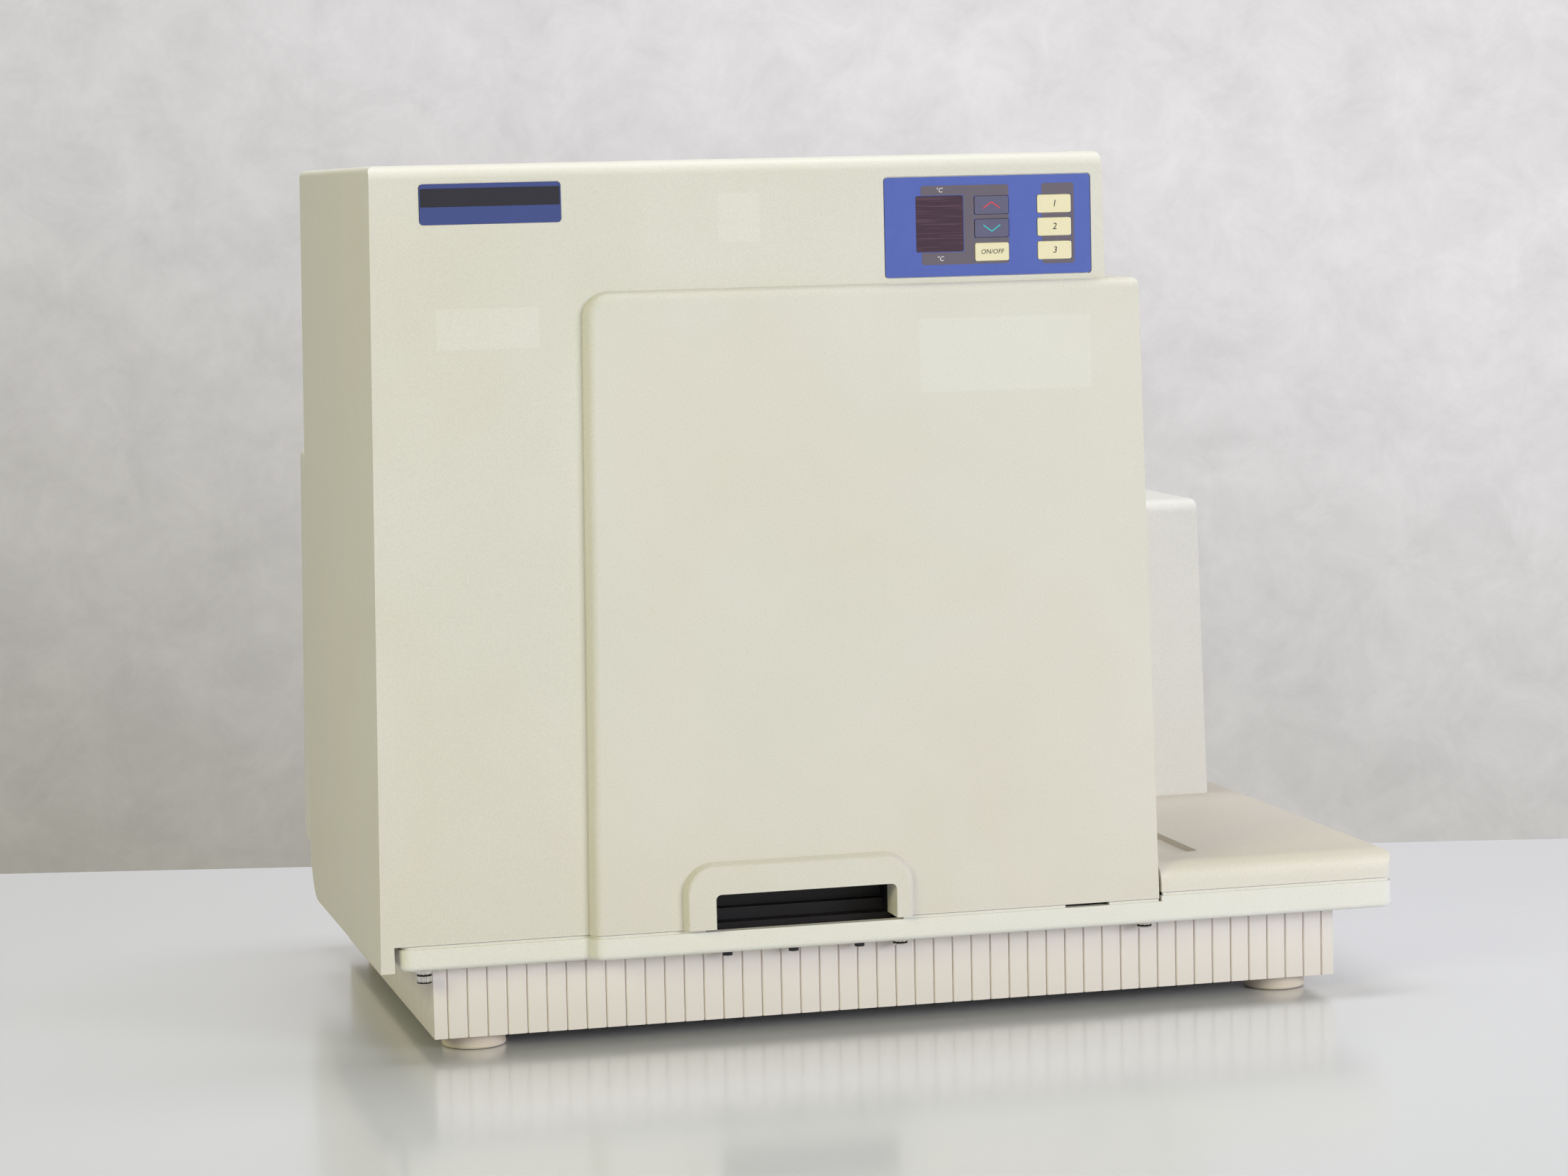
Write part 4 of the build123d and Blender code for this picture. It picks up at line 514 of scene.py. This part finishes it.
def chevron(name, key, rise, material):
    """A bent printed stroke on a key: a strip in two lengths, its middle pushed up or down."""
    low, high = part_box(key)
    middle = ((low.x + high.x) / 2, low.y, (low.z + high.z) / 2)
    bpy.ops.object.select_all(action="DESELECT")
    bpy.ops.mesh.primitive_grid_add(x_subdivisions=2, y_subdivisions=1, size=1.0,
                                    location=middle, rotation=(math.radians(90), 0, 0))
    piece = bpy.context.object
    piece.scale = (CHEVRON_W * MM, CHEVRON_STROKE * MM, 1.0)
    bpy.ops.object.transform_apply(location=False, rotation=True, scale=True)
    edit(piece)
    bpy.ops.mesh.select_all(action="DESELECT")
    mesh = bmesh.from_edit_mesh(piece.data)
    for corner in mesh.verts:
        corner.select_set(abs(corner.co.x) < 0.1 * MM)
    mesh.select_flush_mode()
    bmesh.update_edit_mesh(piece.data)
    bpy.ops.transform.translate(value=(0, 0, rise * MM))
    bpy.ops.mesh.select_all(action="SELECT")
    bpy.ops.transform.translate(value=(0, 0, -rise * MM / 2))
    draw_out_ink()
    return settle(piece, name, material, key)


def legend(name, words, x, z, y, tall, material, body):
    """Printed characters, centred on a point of the face."""
    bpy.ops.object.select_all(action="DESELECT")
    bpy.ops.object.text_add(location=(0, 0, 0))
    piece = bpy.context.object
    piece.data.body = words
    piece.data.size = tall * TYPE_SIZE * MM
    piece.data.align_x = "CENTER"
    piece.data.align_y = "CENTER"
    piece.data.shear = TYPE_SLANT
    piece.data.extrude = INK / 2 * MM
    piece.data.resolution_u = 3
    bpy.ops.object.convert(target="MESH")
    piece = bpy.context.object
    piece.location = (x * MM, y - INK / 2 * MM, z * MM)
    piece.rotation_euler = (math.radians(90), 0, 0)
    return settle(piece, name, material, body)


def print_panel():
    """Two dark fields behind the keys and the display, arrows, numerals and units."""
    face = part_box("panel_overlay")[0].y
    first = printed_patch("panel_print_temperature", TEMPERATURE_FIELD, face, FIELD_CORNER,
                          DARK_INK, ROOT)
    second = printed_patch("panel_print_drawers", DRAWER_FIELD, face, FIELD_CORNER,
                           DARK_INK, ROOT)
    cut_windows(first, ("key_warmer", "key_cooler", "key_heater"), *KEY_FACE)
    cut_windows(first, ("display_lens",), *LENS_FACE)
    cut_windows(second, ("key_drawer_top", "key_drawer_middle", "key_drawer_bottom"), *KEY_FACE)
    chevron("arrow_warmer", "key_warmer", CHEVRON_RISE, RED_INK)
    chevron("arrow_cooler", "key_cooler", -CHEVRON_RISE, CYAN_INK)
    for name, words, tall in KEY_LEGENDS:
        low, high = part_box("key_" + name)
        legend("legend_" + name, words, (low.x + high.x) / 2 / MM, (low.z + high.z) / 2 / MM,
               low.y, tall, BLACK_INK, "key_" + name)
    top = face - INK * MM
    for name, height in (("upper", UNIT_UPPER_Z), ("lower", UNIT_LOWER_Z)):
        legend("legend_unit_" + name, "°C", UNIT_X, height, top, LETTER_TALL, WHITE_INK, ROOT)
    for name in ("key_warmer", "key_cooler"):
        frame["nodes"][name].data.materials[0] = KEY_INK


def print_badge():
    """The badge is left bare: blue film with a black band along its upper half."""
    low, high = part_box("badge_plate")
    band = (low.x / MM + BAND_INSET, high.x / MM - BAND_INSET, BAND_Z0, BAND_Z1)
    printed_patch("badge_band", band, low.y, BAND_CORNER, BLACK_INK, ROOT)


# ---------------------------------------------------------------- rear screws

SCREW_HEAD_R = 2.9
SCREW_HEAD_H = 1.7
SCREW_RIM = 0.7
SLOT_LONG, SLOT_WIDE, SLOT_DEEP = 2.9, 0.55, 1.8
# Places on the rear faces, x and z.
PANEL_SCREWS = tuple((x, z) for z in (90.0, 294.0) for x in (-256.0, -67.0, 122.0))
FAN_SCREWS = tuple((x, z) for z in (204.3, 275.7) for x in (-215.8, -144.2))
OPTICS_SCREWS = ((162.0, 98.0), (252.0, 98.0))


def pan_head():
    """A cross-recessed pan head that faces the rear: a short cylinder, its rim rounded, with
    two slots cut across it."""
    bpy.ops.object.select_all(action="DESELECT")
    bpy.ops.mesh.primitive_cylinder_add(vertices=24, radius=SCREW_HEAD_R * MM,
                                        depth=SCREW_HEAD_H * MM,
                                        rotation=(math.radians(-90), 0, 0))
    head = bpy.context.object
    bpy.ops.object.transform_apply(location=True, rotation=True, scale=True)
    edit(head)
    bpy.ops.mesh.select_all(action="DESELECT")
    mesh = bmesh.from_edit_mesh(head.data)
    for edge in mesh.edges:
        edge.select_set(all(v.co.y > SCREW_HEAD_H * 0.49 * MM for v in edge.verts))
    bmesh.update_edit_mesh(head.data)
    bpy.ops.mesh.bevel(offset=SCREW_RIM * MM, segments=3, affect="EDGES")
    bpy.ops.object.mode_set(mode="OBJECT")
    for wide, tall in ((SLOT_LONG, SLOT_WIDE), (SLOT_WIDE, SLOT_LONG)):
        cut_away(head, cutting_block((0, SCREW_HEAD_H / 2 * MM, 0),
                                     (wide * MM, SLOT_DEEP * MM, tall * MM)))
    return head


def place_screws():
    """Copies of one head, each seated on the face that it holds."""
    head = pan_head()
    panel_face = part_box("rear_panel")[1].y
    cover_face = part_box("optics_cover")[1].y
    sets = (("panel_screw", PANEL_SCREWS, panel_face), ("fan_screw", FAN_SCREWS, panel_face),
            ("optics_screw", OPTICS_SCREWS, cover_face))
    for label, places, face in sets:
        for number, (x, z) in enumerate(places, 1):
            copy = head.copy()
            copy.data = head.data.copy()
            bpy.context.collection.objects.link(copy)
            seat = (x * MM, face + SCREW_HEAD_H / 2 * MM, z * MM)
            copy.data.transform(Matrix.Translation(seat))
            copy.name = "%s_%d" % (label, number)
            copy.data.materials.clear()
            copy.data.materials.append(FINISHES["plated_steel"])
            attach(copy, ROOT)
    bpy.data.objects.remove(head)


print_panel()
print_badge()
place_screws()

# ---------------------------------------------------------------- studio

CAMERA_AT = Vector((-0.6068, -2.3527, 0.4652))
CAMERA_LENS = 94.8
CAMERA_SENSOR = 36.0
CAMERA_YAW, CAMERA_PITCH, CAMERA_ROLL = (math.radians(a) for a in (14.06, 5.55, 1.34))

TABLE_BACK = 0.423
TABLE_WIDTH, TABLE_DEPTH = 5.0, 3.4
TABLE_TURN = math.radians(-14.35)
TABLE_DROP = 0.0002  # just under the feet, so that the two faces don't share a plane

WORLD_STRENGTH = 0.1  # plain light that reaches the object from all round
WALL_MOTTLE = 62.0  # cloudy blotches to one radian of the wall

BODY_CENTRE = (0.0, 0.0, 0.25)
# Each lamp's name, place, aim, size, watts, tint and whether reflections show it.
LAMPS = (
    ("left_key", (-2.7, -2.1, 1.5), BODY_CENTRE, (1.4, 1.1), 46.0, (1.0, 0.99, 0.58), False),
    ("right_key", (2.3, -2.9, 0.85), BODY_CENTRE, (1.6, 1.0), 88.0, (0.93, 0.95, 1.0), False),
    ("top_softbox", (0.0, 0.08, 2.6), (0.0, 0.0, 0.0), (2.0, 0.6), 40.0, (0.95, 0.965, 1.0),
     True),
    ("rear_fill", (0.4, 3.0, 1.6), BODY_CENTRE, (1.8, 1.2), 18.0, (0.97, 0.98, 1.0), False),
)


def set_camera():
    """The camera stands off the front left corner, looking slightly down."""
    yaw, pitch, roll = CAMERA_YAW, CAMERA_PITCH, CAMERA_ROLL
    right = Vector((math.cos(yaw), -math.sin(yaw), 0))
    ahead = Vector((math.sin(yaw) * math.cos(pitch), math.cos(yaw) * math.cos(pitch),
                    -math.sin(pitch)))
    down = ahead.cross(right)
    turned_right = right * math.cos(roll) + down * math.sin(roll)
    turned_down = down * math.cos(roll) - right * math.sin(roll)
    bpy.ops.object.camera_add()
    camera = bpy.context.object
    camera.name = "studio_camera"
    camera.data.lens = CAMERA_LENS
    camera.data.sensor_width = CAMERA_SENSOR
    camera.data.sensor_fit = "HORIZONTAL"
    turn = Matrix((turned_right, -turned_down, -ahead)).transposed().to_4x4()
    camera.matrix_world = Matrix.Translation(CAMERA_AT) @ turn
    bpy.context.scene.camera = camera


def softbox(name, at, aim, size, watts, tint, mirrored):
    """A rectangular diffused lamp aimed at a point; only a mirrored one shows in reflections."""
    bpy.ops.object.light_add(type="AREA", location=at)
    lamp = bpy.context.object
    lamp.name = name
    lamp.data.shape = "RECTANGLE"
    lamp.data.size, lamp.data.size_y = size
    lamp.data.energy = watts
    lamp.data.color = tint
    lamp.visible_glossy = mirrored
    lamp.rotation_euler = (Vector(aim) - Vector(at)).to_track_quat("-Z", "Y").to_euler()


def set_world():
    """Pale surroundings: a cloudy grey wall to the eye, darker towards its left and bottom
    with painted shade, and plain light to the object.
    """
    world = bpy.data.worlds.new("studio_surroundings")
    bpy.context.scene.world = world
    world.use_nodes = True
    tree = world.node_tree
    tree.nodes.clear()
    where = add(tree, "ShaderNodeTexCoord").outputs["Generated"]
    parts = add(tree, "ShaderNodeSeparateXYZ", links={0: where})
    # Painted shade on the wall: darker towards the left and the bottom, as the light falls from
    # the right and above.
    across = add(tree, "ShaderNodeMapRange",
                 {"From Min": 0.07, "From Max": 0.40, "To Max": 0.53},
                 {"Value": parts.outputs["X"]})
    rise = add(tree, "ShaderNodeMapRange",
               {"From Min": -0.16, "From Max": 0.034, "To Max": 0.72},
               {"Value": parts.outputs["Z"]})
    painted_wall_shade = add(tree, "ShaderNodeMath", links={0: across.outputs[0], 1: rise.outputs[0]},
               operation="ADD", use_clamp=True)
    broad = add(tree, "ShaderNodeTexNoise",
                {"Scale": WALL_MOTTLE, "Detail": 6.0, "Roughness": 0.72, "Distortion": 0.4},
                {"Vector": where})
    mottle = add(tree, "ShaderNodeMapRange",
                 {"From Min": 0.32, "From Max": 0.68, "To Min": 0.92, "To Max": 1.06},
                 {"Value": broad.outputs["Fac"]})
    tone = add(tree, "ShaderNodeMix", {"A": linear("a19e95"), "B": linear("e2e0e1")},
               {"Factor": painted_wall_shade.outputs[0]}, data_type="RGBA")
    wall = add(tree, "ShaderNodeMix", {"Factor": 1.0},
               {"A": tone.outputs["Result"], "B": mottle.outputs["Result"]},
               data_type="RGBA", blend_type="MULTIPLY")
    ray = add(tree, "ShaderNodeLightPath").outputs
    seen = add(tree, "ShaderNodeMath",
               links={0: ray["Is Camera Ray"], 1: ray["Is Glossy Ray"]}, operation="MAXIMUM")
    seen_all = add(tree, "ShaderNodeMath",
                   links={0: seen.outputs[0], 1: ray["Is Transmission Ray"]},
                   operation="MAXIMUM")
    plain = add(tree, "ShaderNodeBackground",
                {"Color": linear("fffdf2"), "Strength": WORLD_STRENGTH})
    shown = add(tree, "ShaderNodeBackground", {"Strength": 1.0},
                {"Color": wall.outputs["Result"]})
    both = add(tree, "ShaderNodeMixShader",
               links={0: seen_all.outputs[0], 1: plain.outputs[0], 2: shown.outputs[0]})
    add(tree, "ShaderNodeOutputWorld", links={"Surface": both.outputs[0]})


def white_lacquer():
    """Sprayed and polished white lacquer: a hard clear coat over an even pale grey, whose
    gloss drifts a little across the top."""
    material, tree, where, shader = finish_tree("white_lacquer")
    haze = add(tree, "ShaderNodeTexNoise", {"Scale": 1.0 / (HAZE_MM * MM), "Detail": 0.0},
               {"Vector": where})
    sheen = add(tree, "ShaderNodeMapRange", {"To Min": 0.26, "To Max": 0.30},
                {"Value": haze.outputs["Fac"]})
    shader.inputs["Base Color"].default_value = linear("d9dbe0")
    shader.inputs["Coat Weight"].default_value = 1.0
    shader.inputs["Coat Roughness"].default_value = 0.15
    feed(tree, shader, roughness=sheen.outputs["Result"])
    return material


def set_table():
    """A pale lacquered table top whose back edge lies behind the object."""
    bpy.ops.mesh.primitive_plane_add(size=1.0, location=(0, 0, 0))
    table = bpy.context.object
    table.name = "table_top"
    table.data.transform(Matrix.Diagonal((TABLE_WIDTH, TABLE_DEPTH, 1.0, 1.0)))
    table.data.transform(Matrix.Translation((0.0, TABLE_BACK - TABLE_DEPTH / 2, -TABLE_DROP)))
    table.data.transform(Matrix.Rotation(TABLE_TURN, 4, "Z"))
    table.data.materials.append(white_lacquer())


bpy.context.scene.view_settings.view_transform = "Standard"

bpy.ops.object.select_all(action="DESELECT")
set_camera()
set_world()
set_table()
for lamp in LAMPS:
    softbox(*lamp)
